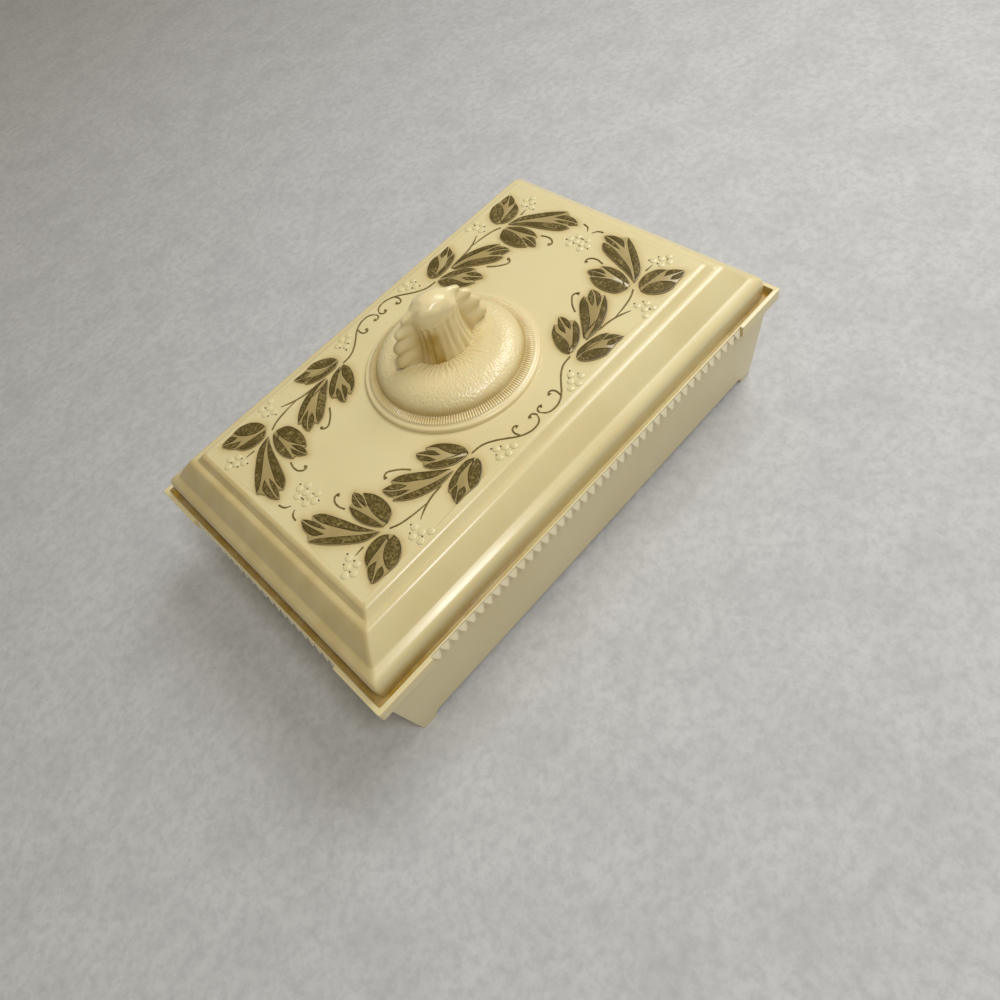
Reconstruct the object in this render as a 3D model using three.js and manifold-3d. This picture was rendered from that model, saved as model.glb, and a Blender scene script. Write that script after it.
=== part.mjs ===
// Trinket box of moulded ivory plastic: a footed tray with a toothed rim, a lift-off lid with a
// stepped and mitred moulding, and a scallop-shell finial held by one screw from inside the lid.
// Millimetres, +Z up. The origin is on the table, under the middle of the tray.
import * as THREE from 'three';
import { mergeVertices } from 'three/addons/utils/BufferGeometryUtils.js';
import Module from 'manifold-3d';

const wasm = await Module();
wasm.setup();

// Tray: outer size at the lip, and the wall below it
const lipLength = 152;
const lipWidth = 98;
const lipHeight = 33.5;
const lipThickness = 1.3;
const rimFaceHeight = 3.6;
const rimOverhang = 2.3;
const coveHeight = 4.6;
const wallThickness = 2.4;
const wallDraft = 1.7;
const floorThickness = 2.4;
const floorFillet = 3;

// Tray: corner feet
const footHeight = 2.8;
const footThickness = 3.2;
const footReach = 4.8;
const bracketRadius = 2.4;

// Tray: row of teeth below the lip, between plain corners
const cornerRun = 17;
const toothPitch = 2.85;
const toothHeight = 2.2;
const toothLean = 0.6;
const toothBellyShare = 0.66;
const toothBellyDrop = 0.69;
const toothTipShare = 0.3;
const toothSetback = 0.7;
const toothWeb = 0.4;
const toothRoot = 0.9;

// Lid: heights are measured up from the top of the lip, insets from its outer edge
const seatDepth = 1.9;
const gutterWidth = 1.75;
const shoulderRise = 2.7;
const creaseRise = 6.3;
const creaseInset = 6;
const slopeHollow = 0.25;
const ledgeRise = 11.5;
const ledgeInset = 10.9;
const ledgeWidth = 1.5;
const riserHollow = 0.3;
const panelRise = 13.3;
const panelInset = 14.2;
const lidWall = 2.2;
const tongueDepth = 3;
const tongueThickness = 1.6;
const tongueClearance = 0.6;

// Finial: round mound with a reeded foot
const flangeRadius = 23.8;
const flangeHeight = 1.2;
const flangeRound = 0.7;
const reedOuterRadius = 22.2;
const reedRise = 0.9;
const reedDepth = 0.3;
const reedCount = 72;
const moundRadius = 20;
const moundFoot = 1.4;
const moundCrestRadius = 13.4;
const moundHeight = 6.4;
const moundDish = 2.4;

// Finial: scallop-shell grip that stands on the mound
const gripHeight = 22.8;
const gripSink = 1.5;
const gripFootDepth = 5.2;
const gripFootWidth = 9;
const gripNeckDepth = 4.5;
const gripNeckWidth = 6.1;
const gripNeckHeight = 16.6;
const gripSquareness = 2.5;
const gripTurn = -0.21;
const capDepth = 4.9;
const capWidth = 6.3;
const capHeight = 18.2;
const fluteCount = 16;
const fluteDepth = 0.8;
const wingHalfWidth = 14.1;
const wingMiddle = 6.5;
const wingTop = 23.4;
const wingEnd = 22.2;
const wingHalfAngle = 0.24;
const wingBack = 0.2;
const frillCount = 4;
const frillDepth = 1.5;

// Screw and washer that hold the finial, driven from inside the lid
const screwRadius = 1.4;
const screwClearance = 0.3;
const screwReach = 8;
const screwTipGap = 0.6;
const headRadius = 3;
const headHeight = 1.8;
const headCrown = 0.5;
const slotWidth = 0.8;
const slotDepth = 0.9;
const washerRadius = 4.5;
const washerThickness = 0.8;

// Facets
const arcSteps = 8;
const filletSteps = 4;
const moundSteps = 5;
const roundFacets = 48;
const gripRows = 22;
const smallFacets = 24;

// Slack by which a cutting tool overshoots the face that it cuts
const overshoot = 1;

// Heights that neighbours share
const seatHeight = lipHeight - seatDepth;
const panelHeight = lipHeight + panelRise;
const ceilingHeight = panelHeight - lidWall;
const trayFloor = footHeight + floorThickness;
const innerWallInset = rimOverhang + wallThickness;
const notchHeight = seatHeight - toothWeb;
const toothDepth = rimOverhang - toothSetback;
const wallTop = lipHeight - rimFaceHeight - coveHeight;
const wallFootInset = rimOverhang + wallDraft;

const ivory = new THREE.MeshStandardMaterial({ color: 0xe6d8ac, roughness: 0.32, metalness: 0 });
const pearl = new THREE.MeshStandardMaterial({ color: 0xead9ae, roughness: 0.28, metalness: 0 });
const brass = new THREE.MeshStandardMaterial({ color: 0xb08d4c, roughness: 0.35, metalness: 1 });

// A closed geometry as a solid that can be joined and cut
function solidOf(geometry) {
  const bare = geometry.clone();
  bare.deleteAttribute('normal');
  bare.deleteAttribute('uv');
  const merged = mergeVertices(bare, 1e-4);
  const corners = merged.index.array;
  const kept = [];
  for (let i = 0; i < corners.length; i += 3) {
    const [a, b, c] = corners.slice(i, i + 3);
    if (a !== b && b !== c && c !== a) kept.push(a, b, c);
  }
  return new wasm.Manifold(new wasm.Mesh({
    numProp: 3,
    vertProperties: new Float32Array(merged.attributes.position.array),
    triVerts: new Uint32Array(kept),
  }));
}

// A solid as a geometry that a mesh can show
function geometryOf(solid) {
  const mesh = solid.getMesh();
  const geometry = new THREE.BufferGeometry();
  geometry.setAttribute('position', new THREE.BufferAttribute(mesh.vertProperties, 3));
  geometry.setIndex(new THREE.BufferAttribute(mesh.triVerts, 1));
  geometry.computeVertexNormals();
  return geometry;
}

// Distance from the long centre line to a moulding line at this inset from the lip's outer edge
function fromEdge(inset) {
  return lipWidth / 2 - inset;
}

// A rectangular moulding with mitred corners: the profile is revolved in four steps, which makes a
// square one, and the two ends are then drawn apart to the lip's length
function mitredSolid(profile) {
  const corners = profile.map((point) => new THREE.Vector2(point.x * Math.SQRT2, point.y));
  const geometry = new THREE.LatheGeometry(corners, 4, Math.PI / 4);
  geometry.rotateX(Math.PI / 2);
  const position = geometry.attributes.position;
  const stretch = (lipLength - lipWidth) / 2;
  for (let i = 0; i < position.count; i += 1) {
    const x = position.getX(i);
    position.setX(i, x + Math.sign(x) * stretch);
  }
  return solidOf(geometry);
}

// A round solid turned about the Z axis
function turnedGeometry(profile, facets) {
  const geometry = new THREE.LatheGeometry(profile, facets);
  geometry.rotateX(Math.PI / 2);
  return geometry;
}

// An upright round bar between two heights, for pins and holes
function barSolid(radius, low, high) {
  const geometry = new THREE.CylinderGeometry(radius, radius, high - low, smallFacets);
  geometry.rotateX(Math.PI / 2);
  geometry.translate(0, 0, (low + high) / 2);
  return solidOf(geometry);
}

// The four sides of the box, each described as seen from outside
function boxSides() {
  const long = { length: lipLength, reach: lipWidth / 2 };
  const short = { length: lipWidth, reach: lipLength / 2 };
  return [long, short, long, short].map((side, i) => ({ ...side, turn: (i * Math.PI) / 2 }));
}

// A shape drawn on a side, as seen from outside, and extruded inwards from the given inset. What hangs
// below the roots of the teeth leans out, by the given distance at their tips
function sideSolid(side, shape, inset, depth, lean = 0) {
  const geometry = new THREE.ExtrudeGeometry(shape, { depth, bevelEnabled: false });
  geometry.rotateX(Math.PI / 2);
  const position = geometry.attributes.position;
  for (let i = 0; i < position.count; i += 1) {
    const hang = Math.max(notchHeight - position.getZ(i), 0) / toothHeight;
    position.setY(i, position.getY(i) - lean * hang);
  }
  geometry.translate(0, inset + depth - side.reach, 0);
  geometry.rotateZ(side.turn);
  return solidOf(geometry);
}

function rectangle(left, bottom, right, top) {
  const shape = new THREE.Shape();
  shape.moveTo(left, bottom);
  shape.lineTo(right, bottom);
  shape.lineTo(right, top);
  shape.lineTo(left, top);
  shape.closePath();
  return shape;
}

// Outline of the toothed strip: straight along the top, blunt teeth hanging below
function valanceShape(run) {
  const top = seatHeight;
  const tip = notchHeight - toothHeight;
  const belly = notchHeight - toothBellyDrop * toothHeight;
  const count = Math.round(run / toothPitch);
  const pitch = run / count;
  const shape = new THREE.Shape();
  shape.moveTo(run / 2, top);
  shape.lineTo(-run / 2, top);
  shape.lineTo(-run / 2, notchHeight);
  for (let i = 0; i < count; i += 1) {
    const middle = -run / 2 + (i + 0.5) * pitch;
    shape.lineTo(middle - (toothBellyShare * pitch) / 2, belly);
    shape.lineTo(middle - (toothTipShare * pitch) / 2, tip);
    shape.lineTo(middle + (toothTipShare * pitch) / 2, tip);
    shape.lineTo(middle + (toothBellyShare * pitch) / 2, belly);
    shape.lineTo(middle + pitch / 2, notchHeight);
  }
  shape.closePath();
  return shape;
}

// Opening between two feet: a low arch with round shoulders
function archShape(span) {
  const shape = new THREE.Shape();
  const side = span / 2;
  shape.moveTo(-side, -overshoot);
  shape.lineTo(side, -overshoot);
  shape.lineTo(side, footHeight - bracketRadius);
  shape.absarc(side - bracketRadius, footHeight - bracketRadius, bracketRadius, 0, Math.PI / 2);
  shape.absarc(bracketRadius - side, footHeight - bracketRadius, bracketRadius, Math.PI / 2, Math.PI);
  shape.closePath();
  return shape;
}

function trayProfile() {
  const rimBottom = lipHeight - rimFaceHeight;
  const innerFootInset = innerWallInset + wallDraft;
  const path = new THREE.Path();
  path.moveTo(0, footHeight);
  path.lineTo(fromEdge(wallFootInset + footThickness), footHeight);
  path.lineTo(fromEdge(wallFootInset + footThickness), 0);
  path.lineTo(fromEdge(wallFootInset), 0);
  path.lineTo(fromEdge(rimOverhang), wallTop);
  path.quadraticCurveTo(fromEdge(rimOverhang), rimBottom, fromEdge(0), rimBottom);
  path.lineTo(fromEdge(0), lipHeight);
  path.lineTo(fromEdge(lipThickness), lipHeight);
  path.lineTo(fromEdge(lipThickness), seatHeight);
  path.lineTo(fromEdge(innerWallInset), seatHeight);
  path.lineTo(fromEdge(innerFootInset), trayFloor + floorFillet);
  path.quadraticCurveTo(
    fromEdge(innerFootInset), trayFloor,
    fromEdge(innerFootInset + floorFillet), trayFloor,
  );
  path.lineTo(0, trayFloor);
  return path.getPoints(filletSteps);
}

// Tray with its lip set back along each toothed run, the teeth hung there, and the feet cut free
function buildTray() {
  let tray = mitredSolid(trayProfile());
  for (const side of boxSides()) {
    const run = side.length - 2 * cornerRun;
    const face = rectangle(-run / 2, notchHeight, run / 2, lipHeight + overshoot);
    const relief = rectangle(-run / 2, wallTop, run / 2, notchHeight);
    tray = tray.subtract(sideSolid(side, face, -overshoot, overshoot + toothSetback));
    tray = tray.subtract(sideSolid(side, relief, -overshoot, overshoot + rimOverhang));
    tray = tray.add(sideSolid(side, valanceShape(run), toothSetback, toothDepth + toothRoot, toothLean));
  }
  for (const side of boxSides().slice(0, 2)) {
    const span = side.length - 2 * (wallFootInset + footReach);
    tray = tray.subtract(sideSolid(side, archShape(span), 0, 2 * side.reach));
  }
  return geometryOf(tray);
}

function lidProfile() {
  const lidInset = lipThickness + gutterWidth;
  const shoulder = lipHeight + shoulderRise;
  const crease = lipHeight + creaseRise;
  const ledge = lipHeight + ledgeRise;
  const riserInset = ledgeInset + ledgeWidth;
  const tongueInset = innerWallInset + tongueClearance;
  const tongueFoot = seatHeight - tongueDepth;
  const hollowInset = tongueInset + tongueThickness;
  const slope = new THREE.Vector2(ledgeInset - creaseInset, ledge - crease).normalize();
  const inward = new THREE.Vector2(slope.y, -slope.x).multiplyScalar(lidWall);
  const slopeRate = slope.y / slope.x;
  const hollowLine = (inset) => crease + inward.y + (inset - creaseInset - inward.x) * slopeRate;
  const hollowTop = ledgeInset + inward.x;
  const path = new THREE.Path();
  path.moveTo(0, ceilingHeight);
  path.lineTo(fromEdge(panelInset + lidWall), ceilingHeight);
  path.lineTo(fromEdge(hollowTop), hollowLine(hollowTop));
  path.lineTo(fromEdge(hollowInset), hollowLine(hollowInset));
  path.lineTo(fromEdge(hollowInset), tongueFoot);
  path.lineTo(fromEdge(tongueInset), tongueFoot);
  path.lineTo(fromEdge(tongueInset), seatHeight);
  path.lineTo(fromEdge(lidInset), seatHeight);
  path.lineTo(fromEdge(lidInset), shoulder);
  path.absellipse(
    fromEdge(creaseInset), shoulder, creaseInset - lidInset, crease - shoulder, 0, Math.PI / 2,
  );
  path.quadraticCurveTo(
    fromEdge((creaseInset + ledgeInset) / 2 + slopeHollow), (crease + ledge) / 2 - slopeHollow,
    fromEdge(ledgeInset), ledge,
  );
  path.lineTo(fromEdge(riserInset), ledge);
  path.quadraticCurveTo(
    fromEdge((riserInset + panelInset) / 2 + riserHollow), (ledge + panelHeight) / 2 - riserHollow,
    fromEdge(panelInset), panelHeight,
  );
  path.lineTo(0, panelHeight);
  return path.getPoints(arcSteps);
}

function buildLid() {
  const holeRadius = screwRadius + screwClearance;
  const hole = barSolid(holeRadius, ceilingHeight - overshoot, panelHeight + overshoot);
  return geometryOf(mitredSolid(lidProfile()).subtract(hole));
}

// Mound of the finial: a flat flange, a rounded crest and a shallow dish under the grip
function moundSolid() {
  const path = new THREE.Path();
  path.moveTo(0, 0);
  path.lineTo(flangeRadius, 0);
  path.lineTo(flangeRadius, flangeHeight - flangeRound);
  path.absarc(flangeRadius - flangeRound, flangeHeight - flangeRound, flangeRound, 0, Math.PI / 2);
  path.lineTo(moundRadius, moundFoot);
  path.absellipse(
    moundCrestRadius, moundFoot, moundRadius - moundCrestRadius, moundHeight - moundFoot,
    0, Math.PI / 2,
  );
  path.quadraticCurveTo(moundCrestRadius / 2, moundHeight, 0, moundHeight - moundDish);
  return solidOf(turnedGeometry(path.getPoints(moundSteps), roundFacets));
}

// Ring of radial reeds round the mound's foot: every other spoke of a turned ring is pressed down
function reedSolid() {
  const inner = moundRadius - reedRise;
  const low = flangeHeight / 2;
  const corners = [
    new THREE.Vector2(inner, low),
    new THREE.Vector2(reedOuterRadius, low),
    new THREE.Vector2(reedOuterRadius, flangeHeight + reedDepth),
    new THREE.Vector2(moundRadius, flangeHeight + reedRise),
    new THREE.Vector2(inner, flangeHeight + reedRise),
    new THREE.Vector2(inner, low),
  ];
  const geometry = turnedGeometry(corners, 2 * reedCount);
  const position = geometry.attributes.position;
  for (let i = 0; i < position.count; i += 1) {
    const spoke = Math.floor(i / corners.length);
    const height = position.getZ(i);
    if (spoke % 2 === 1 && height > flangeHeight) position.setZ(i, height - reedDepth);
  }
  return solidOf(geometry);
}

// How far the flutes are cut at this height: full below the neck, none under the smooth cap
function fluteCut(height) {
  const top = THREE.MathUtils.smoothstep(height, gripNeckHeight - fluteDepth, capHeight);
  return fluteDepth * (1 - top);
}

// How far a squarish oval stands out from a round one at this angle
function squarish(angle) {
  const across = Math.abs(Math.cos(angle)) ** gripSquareness;
  const along = Math.abs(Math.sin(angle)) ** gripSquareness;
  return (across + along) ** (-1 / gripSquareness);
}

// How far a frilled wing reaches from the axis at this height: an oval edge with round lobes
function wingReach(height) {
  const climb = THREE.MathUtils.clamp((height - wingMiddle) / (wingTop - wingMiddle), -1, 1);
  const angle = Math.asin(climb);
  const notch = 1 - Math.abs(Math.sin(2 * frillCount * angle));
  return wingHalfWidth * Math.cos(angle) - frillDepth * notch;
}

// Scallop-shell grip: a squarish oval body that flares to its foot under a smooth cap, cut by upright
// flutes all round, with a frilled wing at each end, set back from the front as the edge of a shell is.
// It stands turned from the length of the box, as the screw has left it
function gripSolid() {
  const foot = moundHeight - moundDish - gripSink;
  const path = new THREE.Path();
  path.moveTo(gripFootDepth, foot);
  path.bezierCurveTo(
    gripNeckDepth, foot + (gripNeckHeight - foot) / 2,
    gripNeckDepth, gripNeckHeight - fluteDepth,
    gripNeckDepth, gripNeckHeight,
  );
  path.quadraticCurveTo(capDepth, gripNeckHeight, capDepth, capHeight);
  path.absellipse(0, capHeight, capDepth, gripHeight - capHeight, 0, Math.PI / 2);
  const profile = [new THREE.Vector2(0, foot), ...path.getSpacedPoints(gripRows)];
  const geometry = turnedGeometry(profile, 4 * fluteCount);
  const position = geometry.attributes.position;
  const flare = gripFootDepth - gripNeckDepth;
  for (let i = 0; i < position.count; i += 1) {
    const x = position.getX(i);
    const y = position.getY(i);
    const z = position.getZ(i);
    const radius = Math.hypot(x, y);
    const angle = Math.atan2(y, x);
    const spread = THREE.MathUtils.clamp((radius - gripNeckDepth) / flare, 0, 1);
    const neckWide = z > gripNeckHeight ? capWidth / capDepth : gripNeckWidth / gripNeckDepth;
    const wide = THREE.MathUtils.lerp(neckWide, gripFootWidth / gripFootDepth, spread);
    const cut = fluteCut(z) * (0.5 - 0.5 * Math.cos(fluteCount * angle));
    const inner = Math.max(radius - cut, 0) * squarish(angle);
    const side = (Math.sin(angle) - wingBack) / Math.sin(wingHalfAngle);
    const standOut = radius > 0 ? Math.max(wingReach(z) - inner * wide, 0) : 0;
    const fade = 1 - THREE.MathUtils.smoothstep(z, wingEnd - 2 * frillDepth, wingEnd);
    const wing = fade * standOut * Math.exp(-side * side);
    position.setX(i, Math.cos(angle) * inner * wide + Math.sign(x) * wing);
    position.setY(i, Math.sin(angle) * inner);
  }
  geometry.rotateZ(gripTurn);
  return solidOf(geometry);
}

function buildFinial() {
  const hole = barSolid(screwRadius + screwClearance, -overshoot, screwReach + screwTipGap);
  return geometryOf(moundSolid().add(reedSolid()).add(gripSolid()).subtract(hole));
}

// Slotted pan-head screw, its head down, with its seat at height zero
function buildScrew() {
  const path = new THREE.Path();
  path.moveTo(0, -headHeight - headCrown);
  path.quadraticCurveTo(headRadius, -headHeight - headCrown, headRadius, -headHeight);
  path.lineTo(headRadius, 0);
  path.lineTo(screwRadius, 0);
  path.lineTo(screwRadius, washerThickness + lidWall + screwReach - screwRadius);
  path.lineTo(0, washerThickness + lidWall + screwReach);
  const body = solidOf(turnedGeometry(path.getPoints(filletSteps), smallFacets));
  const slot = new THREE.BoxGeometry(3 * headRadius, slotWidth, 2 * slotDepth);
  slot.translate(0, 0, -headHeight - headCrown);
  return geometryOf(body.subtract(solidOf(slot)));
}

function buildWasher() {
  const disc = barSolid(washerRadius, 0, washerThickness);
  const hole = barSolid(screwRadius + screwClearance, -overshoot, washerThickness + overshoot);
  return geometryOf(disc.subtract(hole));
}

function namedMesh(name, geometry, material, height) {
  const mesh = new THREE.Mesh(geometry, material);
  mesh.name = name;
  mesh.position.z = height;
  return mesh;
}

const washerHeight = ceilingHeight - washerThickness;

const lidGroup = new THREE.Group();
lidGroup.add(namedMesh('lid', buildLid(), ivory, 0));
lidGroup.add(namedMesh('shell_finial', buildFinial(), pearl, panelHeight));
lidGroup.add(namedMesh('finial_washer', buildWasher(), brass, washerHeight));
lidGroup.add(namedMesh('finial_screw', buildScrew(), brass, washerHeight));

const trinketBox = new THREE.Group();
trinketBox.add(namedMesh('base_tray', buildTray(), ivory, 0));
trinketBox.add(lidGroup);

export default trinketBox;
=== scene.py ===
import math

import bpy
from bpy.props import FloatProperty, FloatVectorProperty, IntProperty, PointerProperty
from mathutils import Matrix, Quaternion, Vector, kdtree, noise


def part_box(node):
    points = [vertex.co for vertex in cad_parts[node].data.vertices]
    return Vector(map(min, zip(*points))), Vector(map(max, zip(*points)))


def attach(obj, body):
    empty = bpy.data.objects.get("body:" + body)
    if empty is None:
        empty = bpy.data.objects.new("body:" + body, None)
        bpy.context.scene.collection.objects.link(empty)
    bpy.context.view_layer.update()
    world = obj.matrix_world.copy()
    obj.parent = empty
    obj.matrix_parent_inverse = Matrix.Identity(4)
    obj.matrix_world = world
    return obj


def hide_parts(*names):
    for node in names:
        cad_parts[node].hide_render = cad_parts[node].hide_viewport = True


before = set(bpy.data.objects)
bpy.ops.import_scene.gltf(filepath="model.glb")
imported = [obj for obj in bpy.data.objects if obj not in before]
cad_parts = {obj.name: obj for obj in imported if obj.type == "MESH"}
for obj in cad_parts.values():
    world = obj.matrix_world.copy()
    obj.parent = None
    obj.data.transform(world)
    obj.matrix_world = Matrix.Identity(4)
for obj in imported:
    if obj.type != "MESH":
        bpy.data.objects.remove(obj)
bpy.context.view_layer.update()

bl_info = {
    "name": "Ivory Trinket Box",
    "version": (1, 0, 0),
    "blender": (4, 5, 0),
    "location": "View3D > Sidebar > Trinket Box",
    "description": "Moulded ivory box with a leaf-and-berry lid and a scallop-shell finial",
    "category": "Object",
}

MM = 0.001
TRAY_LOW, TRAY_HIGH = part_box("base_tray")
LID_LOW, LID_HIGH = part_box("lid")
FINIAL_LOW, FINIAL_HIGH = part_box("shell_finial")
WASHER_LOW, WASHER_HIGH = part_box("finial_washer")
SCREW_LOW, SCREW_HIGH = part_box("finial_screw")

LENGTH = (TRAY_HIGH.x - TRAY_LOW.x) / MM
WIDTH = (TRAY_HIGH.y - TRAY_LOW.y) / MM
LIP_TOP = TRAY_HIGH.z / MM
PANEL_TOP = LID_HIGH.z / MM
FINIAL_HEIGHT = (FINIAL_HIGH.z - FINIAL_LOW.z) / MM
FLANGE_RADIUS = (FINIAL_HIGH.x - FINIAL_LOW.x) / 2 / MM

SMOOTH_ANGLE = math.radians(34)
RELIEF_ANGLE = math.radians(60)
SHELL_ANGLE = math.radians(70)
ARC_STEPS = 10
CORNER_STEPS = 4
BRACKET_STEPS = 8
HOLE_FACETS = 48
SCREW_FACETS = 48
WASHER_FACETS = 64
FACETS_PER_REED = 4
FACETS_PER_FLUTE = 14
MERGE = 1e-7

# Tiny difference in height, in metres, between parts of a leaf that overlap
LAYER_STEP = 0.012 * MM

# Below 1, how much flatter than a dome the finial's cap is
FLAT_TOP = 0.8

# Pale colour painted on the teeth's faces: painted light where the light catches them
PAINTED_LIGHT = (0.97, 0.86, 0.59, 1.0)

# Radius in millimetres of the tiny face that closes a turned piece at its axis
DISH_END = 0.3
CAP_END = 0.02
HEAD_END = 0.3
SCREW_END = 0.1

# Width in millimetres of the slope under the upright face of a plain corner
RIM_NOSE = 0.1

# Flank of a tooth, as shares of its half width and height, how much painted light its face has,
# and rings of that face: how far each is drawn in, and its share of the swell
TOOTH_FLANK = (0.75, 0.45)
TOOTH_PAINTED_LIGHT = 0.9
TOOTH_FACE = ((0.96, 0.5), (0.86, 0.85), (0.7, 1.0))

# Rings of a leaf's edge: shares of its margin and rise, and how dark each is, with stain and
# painted shade round the leaf's foot
LEAF_EDGE = ((1, 0.5, 1), (0.8, 0.9, 0.8), (0.4, 1, 0.3))

# Most that the dark edge of the paint takes of a painted part's width
BORDER_LIMIT = 0.4

# Height of a berry as a share of its radius, how strong the stain and painted shade are round its
# foot, and the share of its height that they climb
BERRY_RISE = 0.28
BERRY_STAIN_AND_SHADE = 0.1
BERRY_STAIN_AND_SHADE_RISE = 0.6

# Where amber lies in the gutter between lip and lid, as stain and a painted glow of light through
# the plastic, in millimetres: in from the lip's edge, up from the lip's top, and along the lip from
# a corner
GUTTER_OUTER = (1.22, 1.4)
GUTTER_INNER = (3.4, 4.2)
GUTTER_FLOOR = (-2.6, -1.9)
GUTTER_CLIMB = (-1.8, 3.4)
GUTTER_CORNER = (4, 34)

# How much of the gutter's stain and glow is left away from the corners and of its painted shade
# away from the left-hand end, and how much of the left-hand end's warm painted shade the mouldings
# beside it have
FAINT_GUTTER_AMBER = 0.25
FAINT_LEFT_END_SHADE = 0.3

# Slope of the reeds: how far in from their edge, in millimetres, and up, as a share of their rise
REED_EDGE = (0, 0.5)
REED_BEND = (0.5, 0.62)
REED_SHOULDER = (1, 0.8)

# Shares of the flange's height between which the top begins, how far in millimetres the reeds fade
# at their inner and outer ends, and how narrow their grooves are
TOP_START = (0.99, 1.05)
REED_FADE_IN = 0.6
REED_FADE_OUT = 0.1
REED_SHARPNESS = 1.5

# Where finishes of the finial's mound begin or end, in millimetres out from its axis
SAND_START = (5.0, 7.0)
SAND_END = (19.0, 19.8)
WRINKLE_END = (8.5, 12.5)
DISH_STAIN_AND_SHADE_END = (6, 11)
FOOT_STAIN_START = (18.6, 20.0)
FOOT_STAIN_END = (20.6, 22.0)

# Waver of the wrinkles: how far it turns them, in radians, and its size in millimetres
WRINKLE_WAVER = ((5.0, 3.2), (2.0, 1.1))

# Size in millimetres of the blotches where wrinkles fade, of those along a flute, and of the cap's
# lumps
WRINKLE_BLOTCH = 2.4
FLUTE_BLOTCH = 9
LUMP_SIZE = 1.9

# Usual strength of wrinkles and flutes, and how far that of the wrinkles changes
WRINKLE_MEAN, WRINKLE_CHANGE = 0.7, 0.9
FLUTE_MEAN = 0.7

# How often the depth of the flutes changes round the grip
FLUTE_CHANGES = 2.3

# How steeply the lobes of a wing swell, and how far they gather at its edge
LOBE_STEEPNESS = 3
LOBE_GATHER = 1.3

# Painted shade at the grip's front left, its angle and spread, stain and painted shade in the
# pockets beside the wings, as shares of a wing's angle, and the heights in millimetres where both
# fade
FRONT_ANGLE, FRONT_SPREAD = -2.25, 0.4
POCKET_PLACE, POCKET_SPREAD = 1.9, 0.7
FRONT_PAINTED_SHADE_END = (13, 17.5)
POCKET_STAIN_AND_SHADE_END = (13, 17)

# How strong the stain is in each form of the finial; in the dish and the pockets it is partly
# painted shade, at the front left it is painted shade
GROOVE_STAIN = 0.75
FOOT_STAIN = 0.5
WRINKLE_STAIN = 0.3
DISH_STAIN_AND_SHADE = 0.25
FLUTE_STAIN = 0.3
FRONT_PAINTED_SHADE = 1.2
POCKET_STAIN_AND_SHADE = 0.8

# Brightness of the dark mottle on the table, as a share of the pale
FLOOR_MOTTLE = 0.72


def length(name, description, millimetres):
    """A length that a user can change, given in millimetres."""
    return FloatProperty(
        name=name, description=description, default=millimetres * MM, unit="LENGTH", precision=5
    )


def colour(name, description, red, green, blue):
    """A colour that a user can change, given as screen values from 0 to 255."""
    linear = [((value / 255 + 0.055) / 1.055) ** 2.4 for value in (red, green, blue)]
    return FloatVectorProperty(
        name=name, description=description, default=linear, subtype="COLOR", min=0, max=1
    )


def factor(name, description, default, least=0):
    """A share of a whole that a user can change."""
    return FloatProperty(
        name=name, description=description, default=default, subtype="FACTOR", min=least, max=1
    )


def turn_angle(name, description, radians):
    """An angle that a user can change."""
    return FloatProperty(name=name, description=description, default=radians, subtype="ANGLE")


def lamp_power(name, description, watts):
    """A lamp's power that a user can change."""
    return FloatProperty(name=name, description=description, default=watts, unit="POWER")


def how_many(name, description, default, least=4):
    """A number of like forms that a user can change."""
    return IntProperty(name=name, description=description, default=default, min=least)


def position(name, description, place):
    """A place that a user can change, given in metres."""
    return FloatVectorProperty(
        name=name, description=description, default=place, subtype="TRANSLATION"
    )


class TraySizes(bpy.types.PropertyGroup):
    """Sizes of the tray: insets are measured in from the outer edge of the plain corners"""

    lip_thickness: length("Lip thickness", "Width of the lip at a plain corner", 1.3)
    lip_round: length("Lip round", "Softening of the lip's edges", 0.2)
    seat_depth: length("Seat depth", "Depth of the lid's seat below the lip", 1.9)
    rim_face: length("Rim face", "Height of a plain corner's upright face", 3.6)
    cove: length("Cove", "Height of the hollow curve below a plain corner", 4.6)
    overhang: length("Overhang", "How far the lip stands out from the wall", 2.3)
    wall: length("Wall", "Thickness of the wall", 2.4)
    draft: length("Draft", "How far the wall leans in towards its foot", 1.7)
    floor: length("Floor", "Thickness of the floor", 2.4)
    fillet: length("Fillet", "Radius between floor and wall inside", 3.0)
    corner: length("Corner", "Softening of the upright corners", 0.6)
    foot_height: length("Foot height", "Height of the corner feet", 2.8)
    foot_depth: length("Foot depth", "Thickness of a foot", 3.2)
    foot_reach: length("Foot reach", "Length of a foot along the side", 4.8)
    bracket: length("Bracket", "Radius of the curve beside a foot", 2.4)
    corner_run: length("Corner run", "Length of a plain corner along each side", 17.0)
    tooth_pitch: length("Tooth pitch", "Spacing of the teeth", 2.85)
    tooth_drop: length("Tooth drop", "Height of a tooth", 2.8)
    tooth_lean: length("Tooth lean", "How far a tooth's tip leans out from its root", 0.6)
    tooth_setback: length("Tooth setback", "How far the lip sits back behind the teeth", 0.9)
    tooth_web: length("Tooth web", "Thickness of the ledge behind the teeth", 0.4)
    tooth_gap: length("Tooth gap", "Strip between the top of the lip and the teeth", 0.35)
    tooth_root: length("Tooth root", "How deep a tooth is rooted in the lip", 0.3)
    tooth_round: length("Tooth round", "How far a tooth's face swells", 0.26)
    tooth_tip: factor("Tooth tip", "How broad a tooth stays towards its tip", 0.3, 0.05)


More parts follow.
